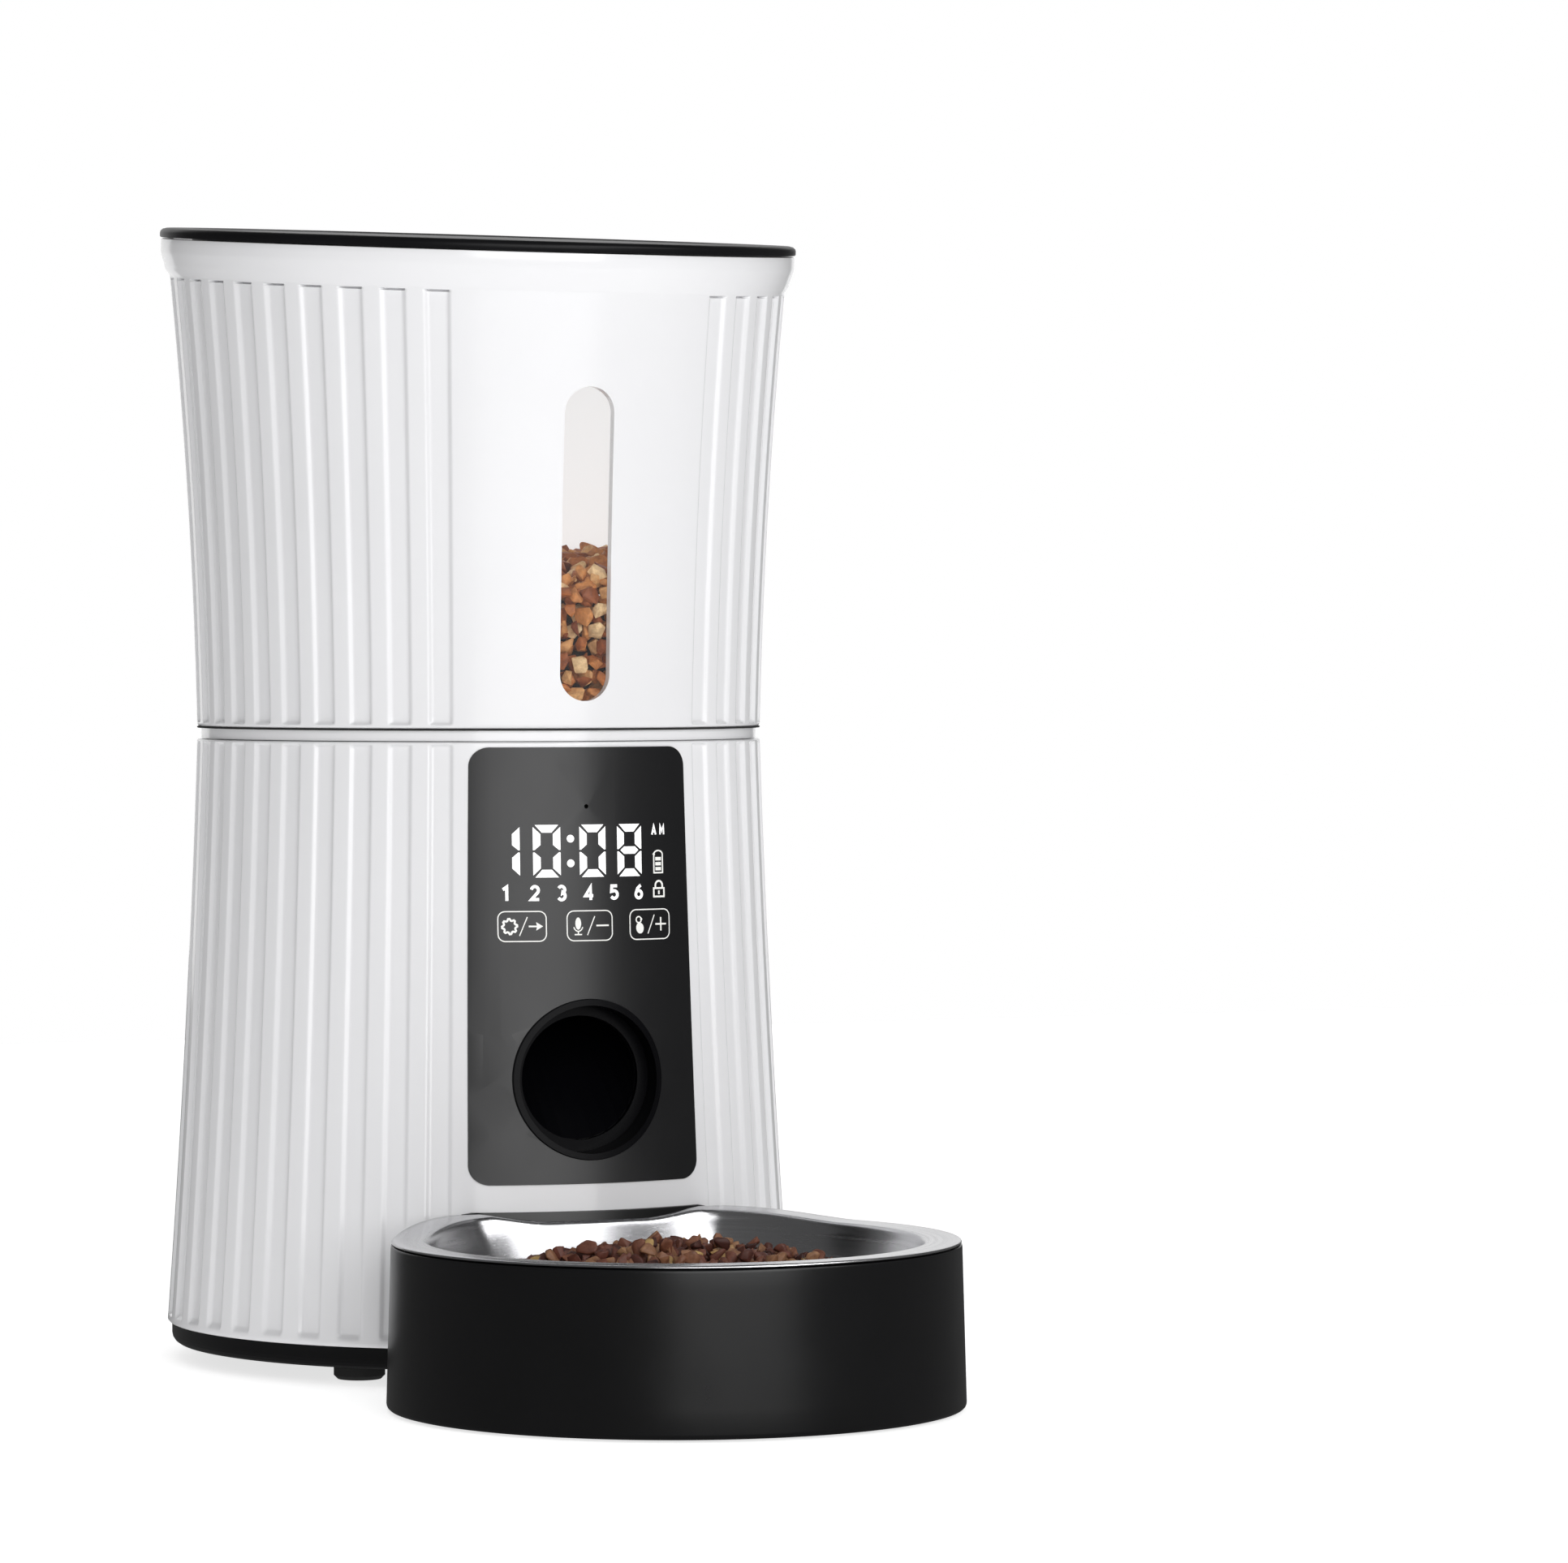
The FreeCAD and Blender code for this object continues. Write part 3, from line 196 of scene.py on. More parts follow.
class Graph:
    """Short calls for adding nodes to one material."""

    def __init__(self, made):
        self.tree = made.node_tree
        self.shader = self.tree.nodes["Principled BSDF"]
        self.where = self.tree.nodes.new("ShaderNodeTexCoord").outputs["Object"]

    def add(self, kind, inputs=None, **settings):
        node = self.tree.nodes.new(kind)
        for key, value in settings.items():
            setattr(node, key, value)
        for key, value in (inputs or {}).items():
            if isinstance(value, bpy.types.NodeSocket):
                self.tree.links.new(value, node.inputs[key])
            else:
                node.inputs[key].default_value = value
        return node

    def noise(self, scale, detail=3.0, stretch=(1, 1, 1), rough=0.5):
        place = self.add("ShaderNodeMapping", {"Vector": self.where, "Scale": stretch})
        return self.add("ShaderNodeTexNoise", {
            "Vector": place.outputs[0], "Scale": scale, "Detail": detail, "Roughness": rough,
        }).outputs["Fac"]

    def ramp(self, fac, stops):
        node = self.add("ShaderNodeValToRGB", {"Fac": fac})
        elements = node.color_ramp.elements
        while len(elements) < len(stops):
            elements.new(0.5)
        for element, (spot, color) in zip(elements, stops):
            element.position = spot
            element.color = (*color, 1.0)
        return node.outputs["Color"]

    def spread(self, fac, low, high):
        return self.add("ShaderNodeMapRange", {
            "Value": fac, "To Min": low, "To Max": high}).outputs["Result"]

    def bump(self, fac, strength, distance_mm):
        return self.add("ShaderNodeBump", {
            "Height": fac, "Strength": strength, "Distance": distance_mm * MM}).outputs["Normal"]

    def into(self, socket, value):
        self.tree.links.new(value, self.shader.inputs[socket])


def moulded(name, color, shade, roughness, spread, grain_mm, bump, **sockets):
    """Moulded plastic: a faint colour drift, uneven gloss and a fine surface grain."""
    made = material(name, color, roughness, **sockets)
    graph = Graph(made)
    drift = graph.noise(14.0, 4.0)
    dark = tuple(c * (1 - shade) for c in color)
    graph.into("Base Color", graph.ramp(drift, [(0.35, dark), (0.65, color)]))
    patch = graph.noise(60.0, 5.0)
    graph.into("Roughness", graph.spread(patch, roughness - spread, roughness + spread))
    grain = graph.noise(1000.0 / grain_mm, 2.0)
    graph.into("Normal", graph.bump(grain, bump, 0.05))
    return made


def brushed(name, color, roughness, stretch, scale, bump, **sockets):
    """Metal with fine scratches that run along one direction."""
    made = material(name, color, roughness, 1.0, **sockets)
    graph = Graph(made)
    scratch = graph.noise(scale, 5.0, stretch, 0.6)
    graph.into("Roughness", graph.spread(scratch, roughness - 0.07, roughness + 0.1))
    dark = tuple(c * 0.86 for c in color)
    graph.into("Base Color", graph.ramp(graph.noise(25.0), [(0.35, dark), (0.65, color)]))
    graph.into("Normal", graph.bump(scratch, bump, 0.04))
    return made


def spun_steel():
    """Stainless steel turned on a lathe: the scratches are rings about the bowl's axis."""
    made = material("spun_steel", (0.66, 0.66, 0.67), 0.24, 1.0)
    graph = Graph(made)
    centre = graph.add("ShaderNodeVectorMath", {
        0: graph.where, 1: (0.0, BOWL_Y * MM, 0.0)}, operation="SUBTRACT").outputs[0]
    flat = graph.add("ShaderNodeVectorMath", {0: centre, 1: (1, 1, 0)}, operation="MULTIPLY")
    radius = graph.add("ShaderNodeVectorMath", {0: flat.outputs[0]}, operation="LENGTH")
    depth = graph.add("ShaderNodeSeparateXYZ", {0: graph.where}).outputs[2]
    place = graph.add("ShaderNodeCombineXYZ", {"X": radius.outputs["Value"], "Y": depth})
    rings = graph.add("ShaderNodeTexNoise", {
        "Vector": place.outputs[0], "Scale": 1400.0, "Detail": 4.0}).outputs["Fac"]
    graph.into("Roughness", graph.spread(rings, 0.17, 0.33))
    graph.into("Normal", graph.bump(rings, 0.22, 0.03))
    tone = graph.ramp(graph.noise(18.0), [(0.3, (0.5, 0.5, 0.52)), (0.7, (0.62, 0.62, 0.63))])
    graph.into("Base Color", tone)
    return made


def kibble_stuff(name, browns):
    """Baked dry food: each piece its own brown, with a pitted, slightly greasy crust. The crust is
    darker in its pits, which is painted shade.
    """
    made = material(name, browns[1][1], 0.6)
    graph = Graph(made)
    each = graph.add("ShaderNodeNewGeometry").outputs["Random Per Island"]
    base = graph.ramp(each, browns)
    crumb = graph.noise(420.0, 6.0, rough=0.7)
    # Darker where the crumb noise is low, which is where the bump sinks: painted shade in the
    # pits.
    shade = graph.ramp(crumb, [(0.3, (0.5, 0.42, 0.38)), (0.62, (1.0, 1.0, 1.0))])
    tint = graph.add("ShaderNodeMixRGB", {"Fac": 1.0, "Color1": base, "Color2": shade},
                     blend_type="MULTIPLY")
    graph.into("Base Color", tint.outputs[0])
    graph.into("Roughness", graph.spread(crumb, 0.42, 0.75))
    graph.into("Normal", graph.bump(crumb, 0.6, 0.35))
    return made


def clear_pane():
    """Clear polycarbonate, a little milky from food dust."""
    made = bpy.data.materials.new("clear_pane")
    made.use_nodes = True
    shader = made.node_tree.nodes["Principled BSDF"]
    shader.inputs["Base Color"].default_value = (0.3, 0.3, 0.3, 1)
    shader.inputs["Alpha"].default_value = 0.05
    shader.inputs["Specular IOR Level"].default_value = 0.25
    graph = Graph(made)
    dust = graph.noise(300.0, 4.0)
    graph.into("Roughness", graph.spread(dust, 0.06, 0.2))
    return made


def glow(name, color, strength):
    """Light from the display's segments, diffused by the printed film over them. The printed key
    marks take it too, where the glow is painted light on print.
    """
    made = material(name, color, 0.4)
    graph = Graph(made)
    graph.shader.inputs["Emission Strength"].default_value = strength
    film = graph.noise(900.0, 2.0)
    dim = tuple(c * 0.9 for c in color)
    graph.into("Emission Color", graph.ramp(film, [(0.3, dim), (0.7, color)]))
    return made


def circuit_board():
    made = material("circuit_board", (0.02, 0.14, 0.06), 0.35, Coat_Weight=0.3)
    graph = Graph(made)
    tracks = graph.add("ShaderNodeTexBrick", {
        "Vector": graph.where, "Scale": 260.0, "Mortar Size": 0.012,
        "Color1": (0.02, 0.14, 0.06, 1), "Color2": (0.025, 0.17, 0.075, 1),
        "Mortar": (0.05, 0.3, 0.13, 1)}).outputs["Color"]
    graph.into("Base Color", tracks)
    graph.into("Normal", graph.bump(graph.noise(500.0), 0.1, 0.05))
    return made


WHITE = moulded("white_gloss", (0.86, 0.86, 0.875), 0.02, 0.2, 0.04, 0.7, 0.05, Coat_Weight=0.35,
                Coat_Roughness=0.06)
# The hopper's inside is given a white glow (emission 0.54): painted light that brightens the
# inside.
INNER_PAINTED_GLOW = moulded("hopper_inside_painted_glow", (0.82, 0.83, 0.84), 0.03, 0.5, 0.05, 0.8, 0.1)
INNER_PAINTED_GLOW.node_tree.nodes["Principled BSDF"].inputs["Emission Color"].default_value = (1, 1, 1, 1)
INNER_PAINTED_GLOW.node_tree.nodes["Principled BSDF"].inputs["Emission Strength"].default_value = 0.54
LID_BLACK = moulded("lid_black", (0.007, 0.007, 0.008), 0.25, 0.36, 0.06, 0.9, 0.08,
                    Specular_IOR_Level=0.16)
BLACK_SATIN = moulded("black_satin", (0.005, 0.005, 0.0055), 0.25, 0.3, 0.05, 0.45, 0.12,
                      Specular_IOR_Level=0.42)
PANEL = moulded("panel_black", (0.005, 0.005, 0.006), 0.15, 0.36, 0.03, 1.2, 0.03,
                Specular_IOR_Level=0.58, Coat_Weight=0.15, Coat_Roughness=0.25)
OUTLET_BLACK = moulded("outlet_black", (0.002, 0.002, 0.003), 0.2, 0.35, 0.05, 0.6, 0.15,
                       Specular_IOR_Level=0.12)
# Flat black without gloss for the disc at the microphone: painted shade for a hole that is not
# cut.
HOLE_PAINTED_SHADE = moulded("hole_painted_shade", (0.001, 0.001, 0.001), 0.2, 0.9, 0.05, 0.2, 0.1,
                    Specular_IOR_Level=0.0)
INNER_WHITE = moulded("inner_white", (0.74, 0.75, 0.76), 0.05, 0.45, 0.06, 0.6, 0.2)
INNER_GREY = moulded("inner_grey", (0.3, 0.31, 0.33), 0.08, 0.5, 0.06, 0.6, 0.25)
RUBBER = moulded("rubber_black", (0.02, 0.02, 0.02), 0.3, 0.75, 0.08, 0.4, 0.45)
SILICONE = moulded("silicone", (0.6, 0.62, 0.63), 0.06, 0.42, 0.06, 0.6, 0.2,
                   Subsurface_Weight=0.2)
ACETAL = moulded("gear_acetal", (0.78, 0.75, 0.66), 0.05, 0.34, 0.05, 0.5, 0.12)
DARK_PARTS = moulded("dark_parts", (0.03, 0.03, 0.034), 0.2, 0.45, 0.07, 0.3, 0.3)
STEEL = spun_steel()
PLATED = brushed("plated_steel", (0.62, 0.62, 0.64), 0.3, (1, 1, 40), 90.0, 0.15)
BRONZE = brushed("bronze", (0.62, 0.43, 0.2), 0.34, (1, 1, 30), 120.0, 0.2)
BOARD = circuit_board()
CLEAR = clear_pane()
LED_WHITE = glow("led_white", (0.9, 0.9, 0.9), 0.45)
# The printed key marks glow (emission 0.25): painted light on print.
PRINT_PAINTED_GLOW = glow("print_painted_glow", (0.8, 0.8, 0.77), 0.25)
BOWL_KIBBLE = kibble_stuff("bowl_kibble", [
    (0.0, (0.07, 0.02, 0.014)), (0.35, (0.18, 0.055, 0.034)), (0.65, (0.28, 0.11, 0.06)),
    (0.92, (0.42, 0.22, 0.11)), (0.98, (0.66, 0.44, 0.16))])
# The food in the hopper is the bowl's food painted much lighter: painted light against the dim
# inside of the hopper.
KIBBLE_PAINTED_LIGHTER = kibble_stuff("stored_kibble_painted_light", [
    (0.0, (0.26, 0.06, 0.015)), (0.35, (0.54, 0.17, 0.04)), (0.65, (0.76, 0.33, 0.1)),
    (0.88, (0.94, 0.56, 0.24)), (0.97, (1.0, 0.75, 0.42))])

# Near-black brown for the plug behind the loose food: painted shade that shows as dark gaps
# between the pieces.
FOOD_PAINTED_SHADE = moulded("food_painted_shade", (0.05, 0.014, 0.005), 0.4, 0.8, 0.05, 2.0, 0.8)

SLOT_LOOKS = {
    "white_gloss": WHITE, "lid_black": LID_BLACK, "black_satin": BLACK_SATIN,
    "panel_black": PANEL, "inner_white": INNER_WHITE, "inner_grey": INNER_GREY,
    "clear_plastic": CLEAR, "steel": STEEL, "rubber_black": RUBBER, "silicone": SILICONE,
    "gear_plastic": ACETAL, "brass": BRONZE, "motor_steel": PLATED, "circuit_green": BOARD,
    "part_dark": DARK_PARTS,
}


def dress_nodes():
    """Every carried-over node gets the finish of its slot."""
    for part in frame["record"]["subparts"]:
        piece = frame["nodes"][part["node"]]
        piece.data.materials.clear()
        piece.data.materials.append(SLOT_LOOKS[part["material_slot"]])
    for name in ("outlet_ring", "food_chute"):
        frame["nodes"][name].data.materials.clear()
        frame["nodes"][name].data.materials.append(OUTLET_BLACK)


# ---- mesh helpers ----
def piece_from(name, points, faces, looks, body, sharp=35, choose=None):
    """Makes a piece from points in millimetres and its faces."""
    mesh = bpy.data.meshes.new(name)
    mesh.from_pydata([p * MM for p in points], [], faces)
    mesh.validate()
    form = bmesh.new()
    form.from_mesh(mesh)
    bmesh.ops.remove_doubles(form, verts=form.verts, dist=0.000002)
    bmesh.ops.recalc_face_normals(form, faces=form.faces)
    form.to_mesh(mesh)
    form.free()
    for look in looks:
        mesh.materials.append(look)
    if choose:
        for face in mesh.polygons:
            face.material_index = choose(face)
    mesh.shade_smooth()
    mesh.set_sharp_from_angle(angle=math.radians(sharp))
    piece = bpy.data.objects.new(name, mesh)
    bpy.context.collection.objects.link(piece)
    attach(piece, body)
    return piece


def skin(rings, closed=False):
    """Quads between rings of equal count; closed joins the last ring to the first."""
    count = len(rings[0])
    points = [p for ring in rings for p in ring]
    faces = []
    last = len(rings) if closed else len(rings) - 1
    for i in range(last):
        a, b = i * count, ((i + 1) % len(rings)) * count
        for j in range(count):
            k = (j + 1) % count
            faces.append((a + j, a + k, b + k, b + j))
    return points, faces


def lathe(profile, place, columns=192):
    """Rings of a (radius, height) profile turned about the axis that place uses."""
    return [[place(360 * j / columns, r, z) for j in range(columns)] for r, z in profile]


def cut(piece, cutters):
    """Takes the cutters' solids out of a piece and leaves no modifier on it."""
    for cutter in cutters:
        step = piece.modifiers.new("cut", "BOOLEAN")
        step.operation = "DIFFERENCE"
        step.solver = "EXACT"
        step.object = cutter
    shaped = piece.evaluated_get(bpy.context.evaluated_depsgraph_get())
    mesh = bpy.data.meshes.new_from_object(shaped)
    piece.modifiers.clear()
    piece.data = mesh
    for cutter in cutters:
        bpy.data.objects.remove(cutter)


def prism(outline, y0, y1):
    """A closed solid from (x, z) points, drawn out along Y, for cutting."""
    near = [Vector((x, y0, z)) for x, z in outline]
    far = [Vector((x, y1, z)) for x, z in outline]
    points, faces = skin([near, far])
    count = len(outline)
    faces += [tuple(range(count)), tuple(reversed(range(count, 2 * count)))]
    mesh = bpy.data.meshes.new("cutter")
    mesh.from_pydata([p * MM for p in points], [], faces)
    form = bmesh.new()
    form.from_mesh(mesh)
    bmesh.ops.recalc_face_normals(form, faces=form.faces)
    form.to_mesh(mesh)
    form.free()
    cutter = bpy.data.objects.new("cutter", mesh)
    bpy.context.collection.objects.link(cutter)
    return cutter


def circle(x, z, r, steps=64):
    return [(x + r * math.cos(2 * math.pi * i / steps), z + r * math.sin(2 * math.pi * i / steps))
            for i in range(steps)]


def capsule(half, z0, z1, steps=24):
    turn = math.pi / steps
    top = [(half * math.cos(i * turn), z1 - half + half * math.sin(i * turn))
           for i in range(steps + 1)]
    low = [(-half * math.cos(i * turn), z0 + half - half * math.sin(i * turn))
           for i in range(steps + 1)]
    return top + low


# ---- white fluted shells ----
def columns():
    count = FLUTES_ROUND * COLUMNS_PER_FLUTE
    return [FLUTE_FIRST + 360 * j / count for j in range(count)]


def groove(angle):
    """How deep in a flute this angle is, from 0 to 1."""
    off = (angle - FLUTE_FIRST + FLUTE_PITCH / 2) % FLUTE_PITCH - FLUTE_PITCH / 2
    turned = (angle + 180) % 360 - 180
    if abs(turned) < FLUTE_FIRST - FLUTE_PITCH / 2:
        return 0.0
    return smooth((FLUTE_HALF + FLUTE_EDGE - abs(off)) / (2 * FLUTE_EDGE))


def lower_shell():
    angles = columns()
    z_top = LOWER_Z[1]
    outer_z = [(LOWER_Z[0], -0.5), (LOWER_Z[0] + 0.5, 0.0), (13.2, 0.0)]
    outer_z += [(13.6 + 2.4 * i / 6, 0.0) for i in range(7)]
    outer_z += [(16 + (z_top - 18) * i / 30, 0.0) for i in range(1, 31)]
    outer_z += [(z_top - 1.4 + 0.25 * i, 0.0) for i in range(4)]
    outer_z += [(z_top - 0.35, -0.05), (z_top - 0.1, -0.25), (z_top, -0.6)]
    rings = []
    for z, shift in outer_z:
        ends = smooth((z - 13.6) / 2.4) * smooth((z_top - 0.5 - z) / 0.9)
        rings.append([on_barrel(a, lower_r(z) + shift - FLUTE_DEPTH * ends * groove(a), z)
                      for a in angles])
    for i in range(9):
        z = z_top - (z_top - LOWER_Z[0]) * i / 8
        rings.append([on_barrel(a, lower_r(z) - WALL, z) for a in angles])
    points, faces = skin(rings, closed=True)
    piece = piece_from("lower_shell_fluted", points, faces, [WHITE], "base", 50)
    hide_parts("lower_shell")
    slot_hole = capsule_flat(*SOCKET_HALF, SOCKET_Z)
    cutters = [prism(circle(0, OUTLET_Z, OUTLET_R - 0.1), AXIS_Y - 120, AXIS_Y - 60),
               prism(slot_hole, AXIS_Y + 80, AXIS_Y + 110)]
    for x, z in speaker_spots():
        cutters.append(prism(circle(x, z, SPEAKER_HOLE_R, 16), AXIS_Y + 60, AXIS_Y + 110))
    cut(piece, cutters)
    return piece


def capsule_flat(half, r, z, steps=12):
    turn = math.pi / steps
    right = [(half - r + r * math.sin(i * turn), z - r * math.cos(i * turn))
             for i in range(steps + 1)]
    return right + [(-x, 2 * z - h) for x, h in right]


def speaker_spots():
    spots = [(0.0, SPEAKER_Z)]
    for ring in (1, 2):
        for i in range(6 * ring):
            a = 2 * math.pi * i / (6 * ring)
            r = SPEAKER_PITCH * ring
            spots.append((r * math.cos(a), SPEAKER_Z + r * math.sin(a)))
    return spots


def hopper_shell():
    angles = columns()
    seam = UPPER_START
    rings = []

    def body_ring(height, shift=0.0, depth=1.0):
        """height(angle, r) gives the ring's height at each column."""
        ring = []
        for a in angles:
            z = height(a, 98.5)
            ring.append(on_barrel(a, upper_r(z) + shift - FLUTE_DEPTH * depth * groove(a), z))
        return ring

    for rise, shift, depth in ((0, -0.9, 0), (0.15, -0.4, 0), (0.5, -0.1, 0), (1.0, 0, 0),
                               (1.3, 0, 0.2), (1.7, 0, 0.8), (2.2, 0, 1), (4, 0, 1)):
        rings.append(body_ring(lambda a, r, rise=rise: seam + rise, shift, depth))
    body_rows = 26
    for i in range(1, body_rows + 1):
        t = i / body_rows
        rings.append(body_ring(lambda a, r, t=t: (seam + 4) * (1 - t)
                               + seat_height(a, r, 14.5) * t))
    for drop, depth in ((13.5, 1), (13.0, 1), (12.9, 1.9), (12.6, 2.1), (12.35, 1.9), (12.3, 0.06),
                        (12.15, 0), (11.6, 0)):
        rings.append(body_ring(lambda a, r, drop=drop: seat_height(a, r, drop), 0, depth))
    collar = [(99.95, -9.6), (100.35, -8.0), (100.85, -6.4), (101.3, -5.0), (COLLAR_R, -3.9),
              (COLLAR_R, -2.0), (COLLAR_R, -0.6), (COLLAR_R - 0.15, -0.15), (COLLAR_R - 0.6, 0.0)]
    for r, height in collar:
        lean = 0.75 * (COLLAR_R - r)
        rings.append([on_lid(a, r - lean * 0.2 * math.cos(math.radians(a)), height)
                      for a in angles])
    rings.append([on_lid(a, 97.6, 0.0) for a in angles])
    rings.append([on_lid(a, 97.0, -0.6) for a in angles])
    outer_count = len(rings)
    rows = 12
    for i in range(rows + 1):
        t = i / rows
        ring = []
        for a in angles:
            z = seat_height(a, 96.5, 4.0) * (1 - t) + seam * t
            ring.append(on_barrel(a, upper_r(z) - WALL, z))
        rings.append(ring)
    points, faces = skin(rings, closed=True)

    # Faces inside the hopper take the glowing material: painted light.
    def inside(face):
        spot = face.center / MM
        r = math.hypot(spot.x, spot.y - AXIS_Y)
        return 1 if r < upper_r(spot.z) - WALL + 0.4 and spot.z > UPPER_START + 2 else 0

    piece = piece_from("hopper_shell_fluted", points, faces, [WHITE, INNER_PAINTED_GLOW], "hopper",
                       50, inside)
    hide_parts("hopper_shell")
    cut(piece, [prism(window_outline(), AXIS_Y - 120, AXIS_Y - 60)])
    return piece


def window_outline():
    return capsule(WINDOW_W / 2, *WINDOW_Z)


def seam_painted_shadow_ring():
    """The black ring that the hopper stands on, seen as a fine line between the halves. Its black
    is painted shadow, standing in for the shadow in the gap of the seam.
    """
    profile = [(88.2, 201.64), (90.1, 201.64), (90.28, 201.8), (90.28, 202.02), (90.1, 202.17),
               (88.2, 202.17)]
    points, faces = skin(lathe(profile, on_barrel, 256), closed=True)
    return piece_from("seam_painted_shadow_ring", points, faces, [RUBBER], "hopper", 60)


# ---- lid ----
def lid():
    top = LID_T + 0.3
    profile = [(0.001, top - 0.45), (40, top - 0.45), (70, top - 0.5), (88, top - 0.55),
               (91.2, top - 0.5), (92.4, top - 0.1), (93.4, top), (99.8, top - 0.05),
               (101.0, top - 0.35), (101.7, top - 0.95), (LID_R, top - 1.6),
               (LID_R, 0.75), (LID_R - 0.2, 0.4), (LID_R - 0.6, 0.3), (94.5, 0.3), (93.0, 0.3),
               (91.6, 0.3), (91.6, -6.4), (93.2, -6.6), (93.2, -8.0), (89.4, -8.0), (89.4, 0.3),
               (34.0, 0.3), (34.0, -3.0), (31.4, -3.0), (31.4, 0.3), (0.001, 0.3)]
    points, faces = skin(lathe(profile, on_lid, 256))
    piece = piece_from("lid_moulded", points, faces, [LID_BLACK], "lid", 40)
    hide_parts("lid")
    return piece


# ---- bowl and its holder ----
def nested_radius(angle, r, back_r, corner):
    """Distance from the bowl's axis to its outline: a circle cut by the barrel's round,
    with a rounded corner where the two meet. The angle is from the front."""
    a = math.radians(angle)
    toward = -math.cos(a)
    across = BOWL_DISTANCE * toward
    under = across * across - BOWL_DISTANCE ** 2 + back_r ** 2
    if toward <= 0 or under <= 0:
        return r
    reach = across - math.sqrt(under)
    gap = min(1.0, max(0.0, 0.5 + 0.5 * (reach - r) / corner))
    return reach * (1 - gap) + r * gap - corner * gap * (1 - gap)


def nested_ring(r, back_r, z, corner=1.5, count=288):
    ring = []
    for j in range(count):
        angle = 360 * j / count
        reach = nested_radius(angle, r, back_r, corner)
        a = math.radians(angle)
        height = z(angle) if callable(z) else z
        ring.append(Vector((reach * math.sin(a), BOWL_Y - reach * math.cos(a), height)))
    return ring


def capped(rings):
    points, faces = skin(rings)
    count = len(rings[0])
    faces.append(tuple(range(count)))
    faces.append(tuple(reversed(range(len(points) - count, len(points)))))
    return points, faces


def is_guard(angle):
    """1 where the outline follows the barrel, 0 on the round, eased between them."""
    reach = nested_radius(angle, 200.0, lower_r(RIM_Z) + BODY_GAP, 0.01)
    return smooth((RIM_R - reach) / 2.2) if reach < 150 else 0.0


def sweep(angle):
    """How far the rim has risen at this angle: it rises towards the barrel."""
    reach = nested_radius(angle, FLANGE_R, lower_r(RIM_Z) + BODY_GAP, 0.01)
    back = -reach * math.cos(math.radians(angle))
    return RIM_SWEEP * smooth((back - SWEEP_Y[0]) / (SWEEP_Y[1] - SWEEP_Y[0]))


def from_front(angle, back_r):
    """Angle about the barrel's axis of the bowl's back outline, 0 in the middle."""
    a = math.radians(angle)
    reach = nested_radius(angle, 120.0, back_r, 0.01)
    across, along = reach * math.sin(a), BOWL_DISTANCE + reach * math.cos(a)
    return abs(math.degrees(math.atan2(across, along)))


def flange_rise(angle):
    """The steel's edge: with the rim on the round, lower in the middle of the guard."""
    behind = is_guard(angle)
    if behind == 0.0:
        return sweep(angle)
    middle = 0.6 + 2.6 * smooth((from_front(angle, lower_r(RIM_Z) + 2.4) - 9) / 15)
    return sweep(angle) * (1 - behind) + middle * behind


def bowl_holder():
    z0 = HOLDER_LOW.z
    r0, r1 = HOLDER_R, RIM_R

    def outside(z):
        t = (z - z0) / (RIM_Z - z0)
        return r0 + (r1 - r0) * t, lower_r(max(z, 12.0)) + BODY_GAP

    rings = [nested_ring(r0 - 3.4, lower_r(12) + 2.6, z0)]
    for inset, rise in ((1.3, 0.0), (0.7, 0.15), (0.3, 0.5), (0.08, 1.0), (0.0, 1.6)):
        r, back = outside(z0 + rise)
        rings.append(nested_ring(r - inset, back + inset, z0 + rise))
    for i in range(1, 9):
        z = z0 + 3 + (RIM_Z - 4 - z0) * i / 8
        rings.append(nested_ring(*outside(z), z))

    def crest(rise):
        def height(a):
            guard = is_guard(a)
            return rise + (RIM_Z + sweep(a)) * (1 - guard) + GUARD_TOP * guard
        return height

    back = lower_r(GUARD_TOP) + BODY_GAP
    for inset, rise in ((0.0, -0.7), (0.06, -0.35), (0.22, -0.1), (0.5, 0.0)):
        rings.append(nested_ring(r1 - inset, back + inset * 0.6, crest(rise)))
    inner_back = back + GUARD_T
    rings.append(nested_ring(r1 - 1.4, inner_back - 0.45, crest(0.0)))
    rings.append(nested_ring(r1 - 2.0, inner_back - 0.12, crest(-0.15)))
    rings.append(nested_ring(r1 - 2.4, inner_back, crest(-0.5)))
    rings.append(nested_ring(r1 - 3.4, inner_back + 0.2, RIM_Z - 2.0))
    for z in (40, 25, 12, z0 + 5):
        rings.append(nested_ring(r1 - 3.4, lower_r(max(z, 12)) + BODY_GAP + GUARD_T + 0.2, z))
    rings.append(nested_ring(r1 - 5.0, lower_r(12) + BODY_GAP + GUARD_T + 1.8, z0 + 3.2))
    points, faces = capped(rings)
    piece = piece_from("bowl_holder_moulded", points, faces, [BLACK_SATIN], "bowl_holder",
                       45)
    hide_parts("bowl_holder")
    return piece


